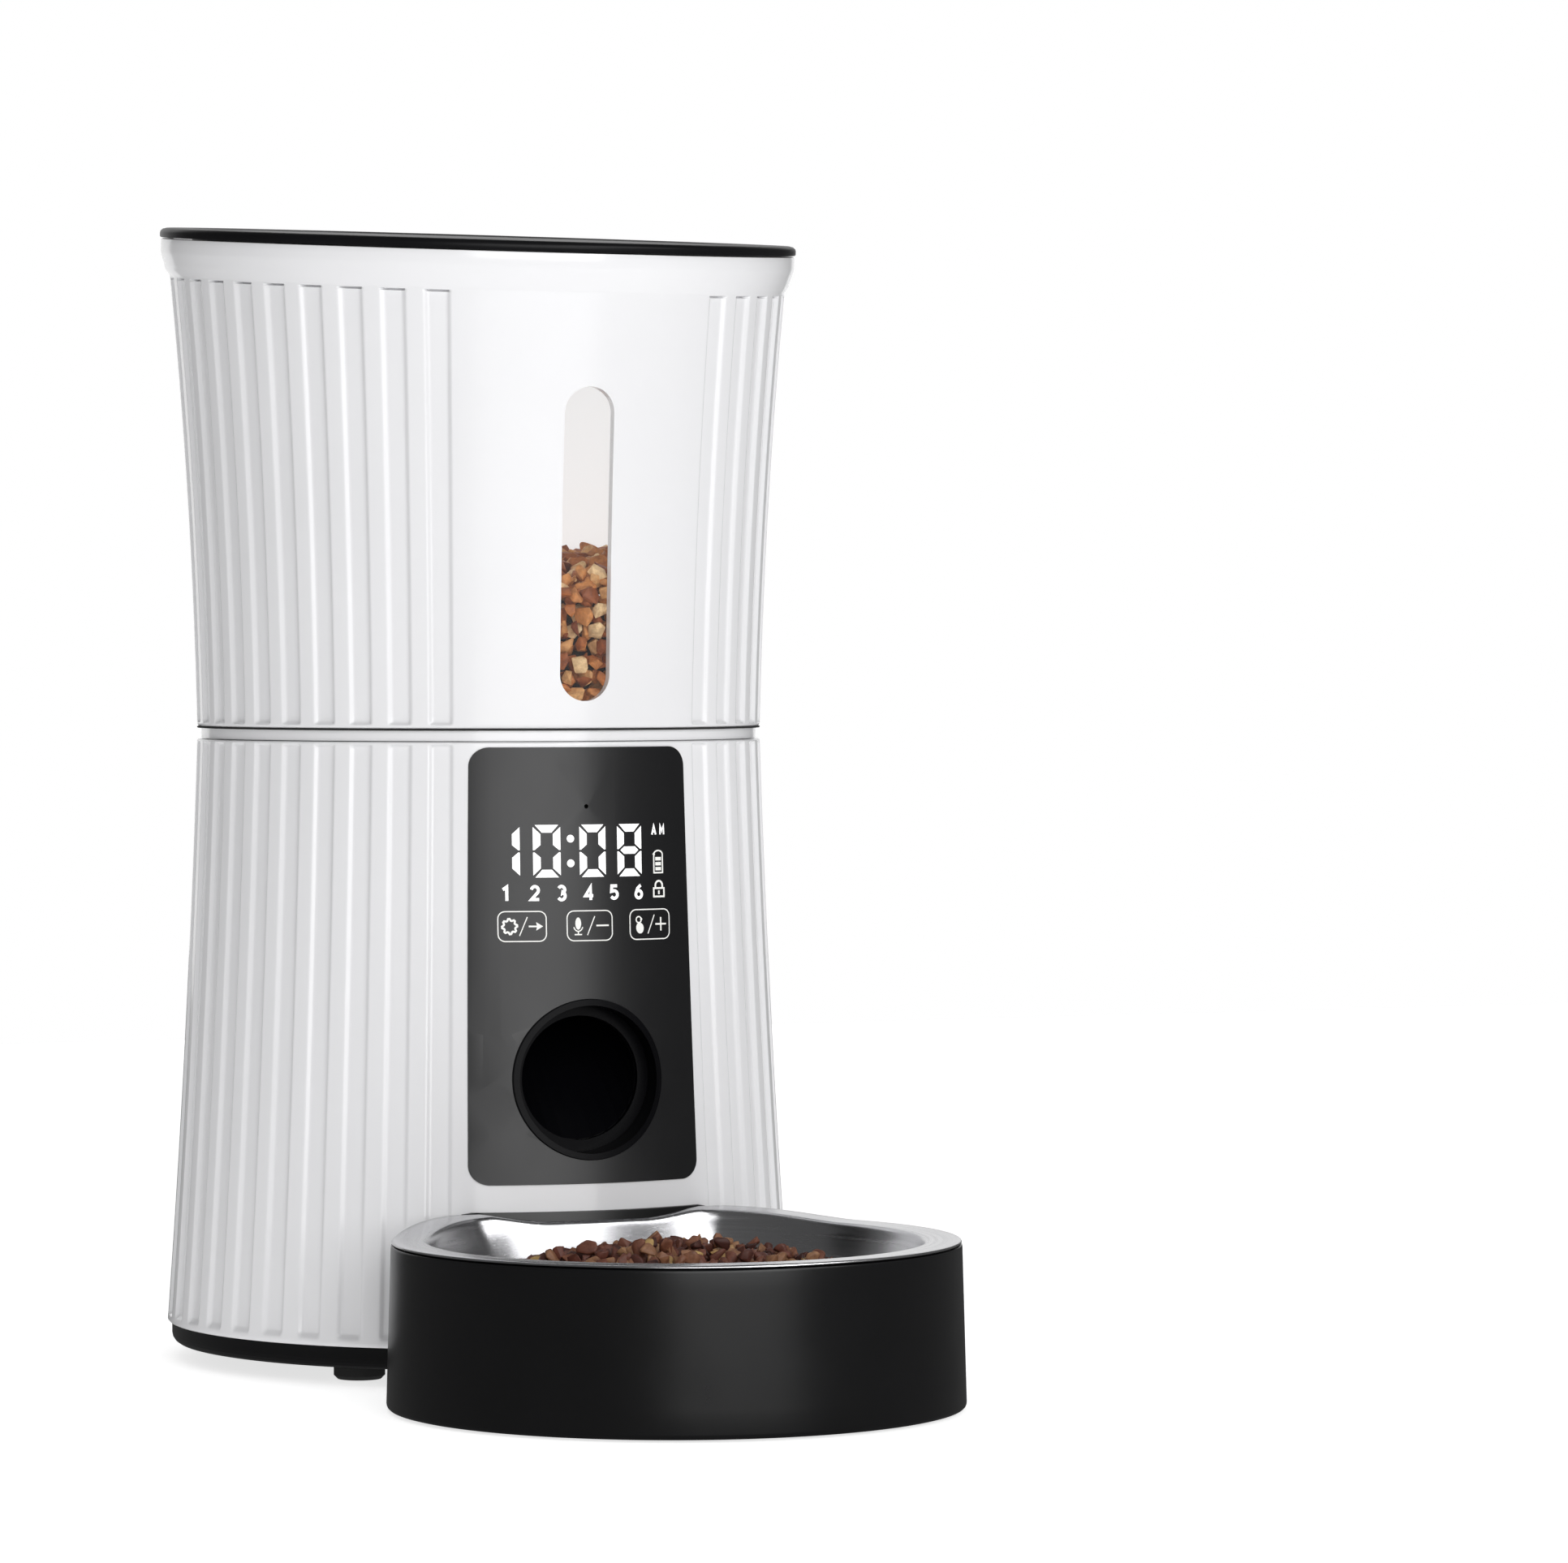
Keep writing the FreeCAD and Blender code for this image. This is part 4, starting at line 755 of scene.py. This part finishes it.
def steel_bowl():
    z_top, z_low = FLANGE_Z, BOWL_LOW.z
    flange_back = lower_r(45.0) + BODY_GAP + GUARD_T + 0.55
    mouth_back = flange_back + 1.0
    sheet = BOWL_SHEET
    outer_r, mouth_r = FLANGE_R, MOUTH_R

    def ring(r, back, z, corner=2.0):
        return nested_ring(r, back, z, corner, 360)

    def lip(z, share=1.0):
        return lambda a: z + share * flange_rise(a)

    rings = [ring(mouth_r + 0.4, mouth_back - 0.4, lip(z_top - sheet), 14),
             ring(outer_r - 0.3, flange_back + 0.3, lip(z_top - sheet), 3),
             ring(outer_r, flange_back, lip(z_top - 0.6), 3),
             ring(outer_r - 0.08, flange_back + 0.05, lip(z_top - 0.25), 3),
             ring(outer_r - 0.4, flange_back + 0.25, lip(z_top), 3),
             ring(outer_r - 3.0, flange_back + 0.5, lip(z_top - 0.05), 6),
             ring(mouth_r + 4.0, mouth_back - 0.4, lip(z_top - 0.1, 0.97), 12)]
    for drop, inset in ((0.12, -1.2), (0.25, -0.5), (0.6, 0.1), (1.3, 0.55), (2.4, 0.95),
                        (4.0, 1.6)):
        rings.append(ring(mouth_r - inset, mouth_back + inset * 0.7, lip(z_top - drop, 0.93), 14))
    wall = [(0.2, 0.18), (0.4, 0.38), (0.6, 0.58), (0.78, 0.77), (0.88, 0.89)]
    depth = z_top - z_low - sheet
    for down, inward in wall:
        r = mouth_r - 1.6 - (mouth_r - BOWL_FLOOR_R - 1.6) * inward
        rings.append(ring(r, mouth_back + 1.1 + 2.4 * inward,
                          lip(z_top - depth * down, 0.9 * (1 - down)), 14))
    for r, back, rise in ((60.5, 3.9, 1.9), (58.6, 4.8, 0.75), (56.0, 6.6, 0.2), (52.0, 9.0, 0.0)):
        rings.append(ring(r, mouth_back + back, z_low + sheet + rise, 16))
    rings.append(ring(50.0, mouth_back + 11, z_low + sheet, 18))
    inside = len(rings)
    rings.append(ring(49.0, mouth_back + 12, z_low, 18))
    for r, back, rise in ((56.5, 6.2, 0.2), (59.3, 4.1, 0.8), (61.4, 3.0, 2.1)):
        rings.append(ring(r, mouth_back + back, z_low + rise, 16))
    for down, inward in reversed(wall):
        r = mouth_r - 0.9 - (mouth_r - BOWL_FLOOR_R - 1.6) * inward
        rings.append(ring(r, mouth_back + 0.3 + 2.4 * inward,
                          lip(z_top - depth * down, 0.9 * (1 - down)), 14))
    rings.append(ring(mouth_r - 0.2, mouth_back, lip(z_top - 3.6, 0.9), 14))
    points, faces = skin(rings, closed=False)
    count = len(rings[0])
    joined = len(points)
    last = (len(rings) - 1) * count
    for j in range(count):
        k = (j + 1) % count
        faces.append((last + j, last + k, k, j))
    floor_in, floor_out = (inside - 1) * count, inside * count
    faces = [f for f in faces if not (min(f) >= floor_in and max(f) < floor_out + count
                                      and min(f) < floor_out <= max(f))]
    faces.append(tuple(floor_in + j for j in range(count)))
    faces.append(tuple(floor_out + j for j in reversed(range(count))))
    piece = piece_from("steel_bowl_pressed", points, faces, [STEEL], "steel_bowl", 45)
    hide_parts("steel_bowl")
    return piece


# ---- kibble ----
def kibble_forms(rng):
    """Chunk shapes: hulls of a few points, with their edges worn round."""
    forms = []
    for _ in range(12):
        form = bmesh.new()
        long, flat = rng.uniform(0.85, 1.2), rng.uniform(0.5, 0.75)
        for _ in range(11):
            a, up = rng.uniform(0, 2 * math.pi), rng.uniform(-1, 1)
            r = math.sqrt(1 - up * up) ** 0.6
            form.verts.new((r * math.cos(a) * long, r * math.sin(a), up * flat))
        bmesh.ops.convex_hull(form, input=form.verts)
        loose = [v for v in form.verts if not v.link_faces]
        bmesh.ops.delete(form, geom=loose, context="VERTS")
        bmesh.ops.dissolve_limit(form, angle_limit=0.35, verts=form.verts, edges=form.edges)
        bmesh.ops.bevel(form, geom=form.edges[:], offset=0.17, segments=2, profile=0.5,
                        affect="EDGES", clamp_overlap=True)
        bmesh.ops.triangulate(form, faces=[f for f in form.faces if len(f.verts) > 4])
        forms.append(([v.co.copy() for v in form.verts],
                      [tuple(v.index for v in f.verts) for f in form.faces]))
        form.free()
    return forms


def scatter(name, spots, body, rng, sizes, look):
    """One mesh of kibble pieces: a spot is a point in mm and how far it may tip."""
    forms = kibble_forms(rng)
    points, faces = [], []
    for spot, tip in spots:
        shape, sides = rng.choice(forms)
        size = rng.uniform(*sizes)
        turn = (Matrix.Rotation(rng.uniform(0, 6.28), 3, "Z")
                @ Matrix.Rotation(rng.uniform(-tip, tip), 3, "X")
                @ Matrix.Rotation(rng.uniform(-tip, tip), 3, "Y"))
        start = len(points)
        points += [spot + turn @ (v * size) for v in shape]
        faces += [tuple(start + i for i in f) for f in sides]
    mesh = bpy.data.meshes.new(name)
    mesh.from_pydata([p * MM for p in points], [], faces)
    mesh.materials.append(look)
    mesh.shade_smooth()
    piece = bpy.data.objects.new(name, mesh)
    bpy.context.collection.objects.link(piece)
    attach(piece, body)
    return piece


def grid_spots(rng, half_x, half_y, step, wander):
    spots = []
    rows = int(half_y / step) + 1
    across = int(half_x / step) + 1
    for i in range(-rows, rows + 1):
        for j in range(-across, across + 1):
            x = (j + 0.5 * (i % 2)) * step + rng.uniform(-wander, wander)
            y = i * step * 0.87 + rng.uniform(-wander, wander)
            spots.append((x, y))
    return spots


def bowl_kibble():
    rng = random.Random(11)
    spots = []

    def heap(x, y):
        r2 = x * x + y * y
        return max(BOWL_LOW.z + 14, HEAP_TOP - HEAP_FALL * r2)

    def fits(x, y, z, spare):
        t = (FLANGE_Z - z) / (FLANGE_Z - BOWL_LOW.z)
        r = 73.0 - 12.5 * min(1.0, max(0.0, t)) - spare
        back = (lower_r(45) + 7 + spare) ** 2
        return x * x + y * y < r * r and x * x + (y - BOWL_DISTANCE) ** 2 > back

    for drop in (0.0, 3.0, 6.0):
        for x, y in grid_spots(rng, 70, 70, 5.1, 1.2):
            z = heap(x, y) - drop - 1.5 + rng.uniform(-1.3, 1.3)
            if fits(x, y, z, 4.2):
                spots.append((Vector((x, BOWL_Y + y, z)), 1.2))
    for _ in range(26):
        a, r = rng.uniform(0, 6.28), rng.uniform(4, 38)
        x, y = r * math.cos(a), r * math.sin(a)
        spots.append((Vector((x, BOWL_Y + y, heap(x, y) + 1.3)), 1.5))
    scatter("bowl_kibble", spots, "steel_bowl", rng, (2.4, 3.5), BOWL_KIBBLE)


def hopper_kibble():
    """What shows of the store: its top, and what lies against the window."""
    rng = random.Random(5)
    spots = []
    for drop in (0.0, 3.6):
        for x, y in grid_spots(rng, 88, 88, 6.2, 1.4):
            level = FOOD_LEVEL - 3.0 + 0.2 * x + 2.5 * noise.noise(Vector((x, y, 0)) * 0.06)
            limit = upper_r(FOOD_LEVEL) - WALL - 5.6
            if math.hypot(x, y) < limit:
                z = level - drop + rng.uniform(-1.5, 1.5)
                spots.append((Vector((x, AXIS_Y + y, z)), 0.8))
    for depth, step in ((4.3, 5.7), (7.6, 5.5), (11.0, 5.8)):
        rows = int((FOOD_LEVEL - FUNNEL_TOP - 4) / (step * 0.9)) + 1
        for i in range(rows):
            for j in range(-4, 5):
                u = (j + 0.5 * (i % 2)) * step + rng.uniform(-1.2, 1.2)
                z = FUNNEL_TOP + 4.5 + i * step * 0.9 + rng.uniform(-1.0, 1.0)
                if z > FOOD_LEVEL - 3.5 + 0.2 * u:
                    continue
                r = upper_r(z) - WALL - depth + rng.uniform(-0.5, 0.5)
                spots.append((on_barrel(math.degrees(u / r), r, z), 1.5))
    scatter("hopper_kibble", spots, "hopper", rng, (2.5, 3.9), KIBBLE_PAINTED_LIGHTER)


def food_bed_painted_shade():
    """The mass of food under the loose pieces: a lumpy plug that fills the hopper. Its near-black
    brown is painted shade for the gaps between the pieces.
    """
    rings = []
    bottom = FUNNEL_TOP + 1.0
    top = FOOD_LEVEL - 8.0
    steps = ((bottom, 1.0), (bottom + 12, 1.0), (top - 10, 1.0), (top - 2, 1.0), (top, 0.96))
    for z, share in steps:
        limit = (upper_r(z) - WALL - 14.5) * share
        rings.append([on_barrel(360 * j / 120, limit + 1.3 * noise.noise(
            Vector((j * 0.9, z * 0.2, 0))), z) for j in range(120)])
    for share in (0.8, 0.6, 0.4, 0.2, 0.02):
        ring = []
        for j in range(120):
            spot = on_barrel(3 * j, 78 * share, top)
            spot.z += 2.0 * noise.noise(spot * 0.12)
            ring.append(spot)
        rings.append(ring)
    points, faces = capped(rings)
    return piece_from("food_bed_painted_shade", points, faces, [FOOD_PAINTED_SHADE], "hopper", 60)


# ---- markings on the panel ----
MARK_LIFT = PANEL_PROUD + 0.06


def on_panel(u, z, lift=MARK_LIFT):
    """u is the distance along the panel's surface from its middle, in mm."""
    r = lower_r(z) + lift
    return on_barrel(math.degrees(u / lower_r(z)), r, z)


def marks(name, shapes, look):
    """Thin raised marks. A shape is a list of (u, z) corners in order. Long shapes are
    split across, so that they follow the panel's round."""
    form = bmesh.new()
    for shape in shapes:
        form.faces.new([form.verts.new((u, z, 0)) for u, z in shape])
    bmesh.ops.remove_doubles(form, verts=form.verts, dist=0.0005)
    for i in range(-26, 27):
        parts = form.verts[:] + form.edges[:] + form.faces[:]
        bmesh.ops.bisect_plane(form, geom=parts, plane_co=(1.3 * i, 0, 0), plane_no=(1, 0, 0))
    for face in form.faces:
        face.normal_update()
        if face.normal.z < 0:
            face.normal_flip()
    grown = bmesh.ops.extrude_face_region(form, geom=form.faces[:], use_keep_orig=True)
    for item in grown["geom"]:
        if isinstance(item, bmesh.types.BMVert):
            item.co.z = MARK_LIFT
    for vert in form.verts:
        lift = vert.co.z if vert.co.z > 0 else MARK_LIFT - 0.25
        vert.co = on_panel(vert.co.x, vert.co.y, lift) * MM
    bmesh.ops.recalc_face_normals(form, faces=form.faces)
    mesh = bpy.data.meshes.new(name)
    form.to_mesh(mesh)
    form.free()
    mesh.materials.append(look)
    mesh.shade_flat()
    piece = bpy.data.objects.new(name, mesh)
    bpy.context.collection.objects.link(piece)
    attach(piece, "base")
    return piece


def stroke(path, width, closed=False):
    """A ribbon of quads along a path of (u, z) points, mitred at its corners."""
    points = [Vector(p) for p in path]
    count = len(points)
    sides = []
    for i, here in enumerate(points):
        before = points[i - 1] if closed or i > 0 else None
        after = points[(i + 1) % count] if closed or i < count - 1 else None
        a = (here - before).normalized() if before else (after - here).normalized()
        b = (after - here).normalized() if after else a
        normal = Vector((-a.y - b.y, a.x + b.x)).normalized()
        reach = width / 2 / max(0.4, normal.dot(Vector((-a.y, a.x))))
        sides.append((here + normal * reach, here - normal * reach))
    shapes = []
    for i in range(count if closed else count - 1):
        (a, b), (c, d) = sides[i], sides[(i + 1) % count]
        shapes.append([tuple(v) for v in (a, b, d, c)])
    return shapes


def arc(cu, cz, r, start, end, steps=16, squash=1.0):
    return [(cu + r * math.cos(math.radians(start + (end - start) * i / steps)),
             cz + squash * r * math.sin(math.radians(start + (end - start) * i / steps)))
            for i in range(steps + 1)]


SEGMENTS = {"0": "abcdef", "1": "bc", "8": "abcdefg"}
DIGIT_W, DIGIT_H, BAR = 8.7, 16.2, 2.4


def segment_digit(char, cu, cz):
    """A seven-segment digit: mitred bars with fine gaps between them."""
    w, h, b, g = DIGIT_W / 2, DIGIT_H / 2, BAR, 0.42
    inner = w - b
    bars = {
        "a": [(-w + g + 0.2, h), (w - g - 0.2, h), (inner - g, h - b), (-inner + g, h - b)],
        "g": [(-w + 1.1, 0), (-inner, 1.15), (inner, 1.15), (w - 1.1, 0), (inner, -1.15),
              (-inner, -1.15)],
    }
    bars["d"] = [(u, -z) for u, z in bars["a"]]
    side = [(w, h - g - 0.2), (w, 0.35), (w - 0.5, 0.35), (inner, 1.5 + g), (inner, h - b - g)]
    bars["b"] = side
    bars["c"] = [(u, -z) for u, z in side]
    bars["f"] = [(-u, z) for u, z in side]
    bars["e"] = [(-u, -z) for u, z in side]
    return [[(cu + u, cz + z) for u, z in bars[s]] for s in SEGMENTS[char]]


def mm_at(angle, z):
    """Distance along the panel of an angle from the front."""
    return math.radians(angle) * lower_r(z)


def clock():
    z = CLOCK_Z
    shapes = []
    for char, angle in CLOCK_AZ:
        shapes += segment_digit(char, mm_at(angle, z), z)
    for dz in (3.8, -3.8):
        shapes.append([(mm_at(COLON_AZ, z) + u, z + dz + v) for u, v in circle(0, 0, 1.2, 20)])
    marks("clock_digits", shapes, LED_WHITE)


# Strokes of the small characters, on a cell 2 high, from -1 to 1.
GLYPHS = {
    "1": [[(-0.42, 0.5), (0.12, 0.86), (0.12, -1)]],
    "2": [arc(0, 0.4, 0.5, 170, -40, 10) + [(-0.5, -0.84), (0.58, -0.84)]],
    "3": [arc(-0.05, 0.42, 0.47, 150, -70, 10) + arc(-0.05, -0.4, 0.52, 70, -150, 10)],
    "4": [[(0.25, -1), (0.25, 0.8), (-0.55, -0.42), (0.62, -0.42)]],
    "5": [[(0.48, 0.84), (-0.36, 0.84), (-0.42, 0.1)] + arc(0, -0.32, 0.52, 120, -150, 10)],
    "6": [[(0.34, 0.86), (-0.2, 0.45)] + arc(0, -0.36, 0.5, 160, 520, 16)],
    "A": [[(-0.55, -1), (0, 1), (0.55, -1)], [(-0.34, -0.35), (0.34, -0.35)]],
    "M": [[(-0.62, -1), (-0.62, 1), (0, -0.3), (0.62, 1), (0.62, -1)]],
}


def glyph(char, cu, cz, height, width, thick):
    shapes = []
    for path in GLYPHS[char]:
        shapes += stroke([(cu + u * width / 2, cz + z * height / 2) for u, z in path], thick)
    return shapes


def meal_numbers():
    shapes = []
    for i, angle in enumerate(MEALS_AZ):
        shapes += glyph(str(i + 1), mm_at(angle, MEALS_Z), MEALS_Z, 4.6, 4.4, 0.95)
    for char, angle, width, thick in zip("AM", MORNING_AZ, (2.6, 2.3), (0.62, 0.55)):
        shapes += glyph(char, mm_at(angle, MORNING_Z), MORNING_Z, 2.9, width, thick)
    marks("meal_numbers", shapes, LED_WHITE)


def battery_sign():
    u, z = mm_at(SIGNS_AZ, BATTERY_Z), BATTERY_Z
    w, h = 1.7, 3.3
    case = [(u - w, z - h)] + [(u - w, z + h - 1.0)] + arc(u, z + h - 1.0, w, 180, 0, 8, 0.75)
    case += [(u + w, z - h)]
    shapes = stroke(case, 0.45, closed=True)
    shapes += [[(u - w + 0.6, z - h + 0.7 + i * 1.55), (u + w - 0.6, z - h + 0.7 + i * 1.55),
                (u + w - 0.6, z - h + 1.75 + i * 1.55), (u - w + 0.6, z - h + 1.75 + i * 1.55)]
               for i in range(3)]
    return shapes


def lock_sign():
    u, z = mm_at(SIGNS_AZ, 151), LOCK_Z
    body = [(u - 2.0, z - 1.5), (u + 2.0, z - 1.5), (u + 2.0, z + 1.1), (u - 2.0, z + 1.1)]
    shackle = [(u - 1.35, z + 1.1)] + arc(u, z + 2.0, 1.35, 180, 0, 10) + [(u + 1.35, z + 1.1)]
    keyhole = [(u, z - 0.8), (u, z + 0.4)]
    return stroke(body, 0.55, True) + stroke(shackle, 0.6) + stroke(keyhole, 0.6)


def key_outline(cu, cz, w, h, r):
    corners = ((w / 2 - r, h / 2 - r, 0), (-w / 2 + r, h / 2 - r, 90),
               (-w / 2 + r, -h / 2 + r, 180), (w / 2 - r, -h / 2 + r, 270))
    path = []
    for u, z, start in corners:
        path += arc(cu + u, cz + z, r, start, start + 90, 6)
    return path


def touch_keys():
    z = KEYS_Z
    shapes = []
    middles = [mm_at(a, z) for a in KEYS_AZ]
    for u in middles:
        shapes += stroke(key_outline(u, z, *KEY_SIZE, KEY_CORNER), 0.34, True)
        shapes += stroke([(u - 0.9, z - 2.9), (u + 1.6, z + 2.9)], 0.32)
    gear_u, mic_u, scoop_u = middles
    teeth = []
    for i in range(32):
        r = 2.35 if i % 4 in (0, 1) else 1.85
        a = 2 * math.pi * i / 32
        teeth.append((gear_u - 3.9 + r * math.cos(a), z + r * math.sin(a)))
    shapes += stroke(teeth, 0.62, True)
    shapes += stroke([(gear_u + 2.0, z), (gear_u + 5.6, z)], 0.5)
    shapes.append([(gear_u + 4.3, z + 1.3), (gear_u + 4.6, z), (gear_u + 4.3, z - 1.3),
                   (gear_u + 6.5, z)])
    shapes.append([(mic_u - 3.9 + 0.95 * math.cos(t), z + 0.7 + 1.9 * math.sin(t))
                   for t in [2 * math.pi * i / 16 for i in range(16)]])
    shapes += stroke(arc(mic_u - 3.9, z + 0.3, 1.55, 200, 340, 8, 1.3), 0.35)
    shapes += stroke([(mic_u - 3.9, z - 1.7), (mic_u - 3.9, z - 2.6)], 0.4)
    shapes += stroke([(mic_u - 5.1, z - 2.7), (mic_u - 2.7, z - 2.7)], 0.4)
    shapes += stroke([(mic_u + 2.1, z), (mic_u + 6.3, z)], 0.5)
    shapes += stroke(arc(scoop_u - 4.3, z + 1.5, 0.95, 0, 360, 12), 0.4, True)
    shapes.append([(scoop_u - 3.9 + 0.75 * u - 0.45 * v, z - 1.1 + 0.5 * u + 0.95 * v)
                   for u, v in circle(0, 0, 1.6, 14)])
    shapes += stroke([(scoop_u + 2.0, z), (scoop_u + 6.2, z)], 0.5)
    shapes += stroke([(scoop_u + 4.1, z - 2.1), (scoop_u + 4.1, z + 2.1)], 0.5)
    marks("key_marks", shapes + battery_sign() + lock_sign(), PRINT_PAINTED_GLOW)


def microphone_hole():
    """The tiny dark disc over the hole above the clock. Its black, without any gloss, is painted
    shade standing in for the dark of the hole.
    """
    rings = []
    for r, lift in ((0.7, -0.1), (0.68, 0.03), (0.4, 0.04)):
        rings.append([on_panel(u, z, PANEL_PROUD + lift) for u, z in circle(0, MIC_Z, r, 20)])
    points, faces = capped(rings)
    return piece_from("microphone_painted_shade", points, faces, [HOLE_PAINTED_SHADE], "base")


# ---- window, outlet ----
def outlet_lip():
    """A fine bright edge round the outlet's mouth, where the panel is turned in."""
    rings = []
    for r, lift in ((24.9, 0.2), (24.85, 0.75), (24.5, 1.15), (24.0, 1.2), (23.4, 0.95),
                    (22.9, 0.3), (22.8, -2.5)):
        ring = []
        for x, z in circle(0, OUTLET_Z, r, 128):
            surface = lower_r(z) + lift
            ring.append(Vector((x, AXIS_Y - math.sqrt(surface ** 2 - x * x), z)))
        rings.append(ring)
    points, faces = skin(rings)
    return piece_from("outlet_lip", points, faces, [LID_BLACK], "base", 60)


# ---- scene: floor, light, camera ----
def floor():
    mesh = bpy.data.meshes.new("floor")
    size = 1.7
    low = -0.0002
    mesh.from_pydata([(-size, -size, low), (size, -size, low), (size, size, low),
                      (-size, size, low)], [], [(0, 1, 2, 3)])
    look = material("floor_white", (0.85, 0.85, 0.85), 0.8, Emission_Strength=0.72)
    look.node_tree.nodes["Principled BSDF"].inputs["Emission Color"].default_value = (1, 1, 1, 1)
    mesh.materials.append(look)
    plane = bpy.data.objects.new("floor", mesh)
    plane.visible_glossy = False
    bpy.context.collection.objects.link(plane)


def area_light(name, spot, aim, width, height, power, seen_in):
    data = bpy.data.lights.new(name, "AREA")
    data.shape = "RECTANGLE"
    data.size, data.size_y = width, height
    data.energy = power
    lamp = bpy.data.objects.new(name, data)
    lamp.location = spot
    lamp.rotation_mode = "QUATERNION"
    lamp.rotation_quaternion = (Vector(aim) - Vector(spot)).to_track_quat("-Z", "Y")
    lamp.visible_glossy = seen_in != "matt"
    lamp.visible_diffuse = seen_in != "mirror"
    bpy.context.collection.objects.link(lamp)


def lights():
    bpy.context.scene.view_settings.view_transform = "Standard"
    world = bpy.data.worlds.new("studio")
    world.use_nodes = True
    tree = world.node_tree
    seen = tree.nodes["Background"]
    seen.inputs["Color"].default_value = (1.0, 1.0, 1.0, 1)
    seen.inputs["Strength"].default_value = 1.0
    path = tree.nodes.new("ShaderNodeLightPath")

    def choose(when, no, yes):
        mix = tree.nodes.new("ShaderNodeMixShader")
        tree.links.new(path.outputs[when], mix.inputs["Fac"])
        tree.links.new(no.outputs[0], mix.inputs[1])
        tree.links.new(yes.outputs[0], mix.inputs[2])
        return mix

    def plain(strength):
        back = tree.nodes.new("ShaderNodeBackground")
        back.inputs["Color"].default_value = (1.0, 1.0, 1.0, 1)
        back.inputs["Strength"].default_value = strength
        return back

    unseen = choose("Is Glossy Ray", plain(AMBIENT), plain(MIRRORED))
    mix = choose("Is Camera Ray", unseen, seen)
    tree.links.new(mix.outputs[0], tree.nodes["World Output"].inputs["Surface"])
    bpy.context.scene.world = world
    aim = (0, AXIS_Y * MM, 0.18)
    for name, angle, height, distance, width, tall, power, seen_in in SOFT_BOXES:
        a = math.radians(angle)
        spot = (distance * math.sin(a), AXIS_Y * MM - distance * math.cos(a), height)
        area_light(name, spot, aim, width, tall, power, seen_in)


# name, angle from the front, height, distance, width and height of the box (m), watts,
# and the surfaces that take its light
AMBIENT = 0.22
MIRRORED = 0.1
SOFT_BOXES = (
    ("key", 0, 0.8, 2.2, 2.0, 1.5, 29, "all"),
    ("left_fill", -85, 0.9, 2.2, 1.6, 1.8, 1.0, "matt"),
    ("top", 180, 2.4, 0.3, 1.8, 1.8, 5, "matt"),
    ("back_fill", 165, 0.75, 2.4, 2.4, 1.5, 10, "all"),
    ("steel_card", 34, 1.8, 2.2, 1.5, 0.8, 17, "mirror"),
)


CAMERA_DISTANCE = 2080.0
CAMERA_HEIGHT = 227.0
CAMERA_ASIDE = 98.1
CAMERA_AZIMUTH = math.radians(-23.9)
CAMERA_PITCH = math.radians(1.18)
FOCAL = 148.5


def camera():
    back = Vector((math.sin(CAMERA_AZIMUTH), -math.cos(CAMERA_AZIMUTH), 0))
    side = Vector((math.cos(CAMERA_AZIMUTH), math.sin(CAMERA_AZIMUTH), 0))
    spot = Vector((0, AXIS_Y, CAMERA_HEIGHT)) + back * CAMERA_DISTANCE + side * CAMERA_ASIDE
    look = -back * math.cos(CAMERA_PITCH) - Vector((0, 0, 1)) * math.sin(CAMERA_PITCH)
    data = bpy.data.cameras.new("camera")
    data.sensor_width = 36.0
    data.lens = FOCAL
    data.clip_start, data.clip_end = 0.05, 60.0
    lens = bpy.data.objects.new("camera", data)
    lens.location = spot * MM
    lens.rotation_mode = "QUATERNION"
    lens.rotation_quaternion = look.to_track_quat("-Z", "Y")
    bpy.context.collection.objects.link(lens)
    bpy.context.scene.camera = lens


camera()
lights()
floor()
dress_nodes()
lower_shell()
hopper_shell()
seam_painted_shadow_ring()
lid()
bowl_holder()
steel_bowl()
bowl_kibble()
hopper_kibble()
food_bed_painted_shade()
clock()
meal_numbers()
touch_keys()
microphone_hole()
outlet_lip()
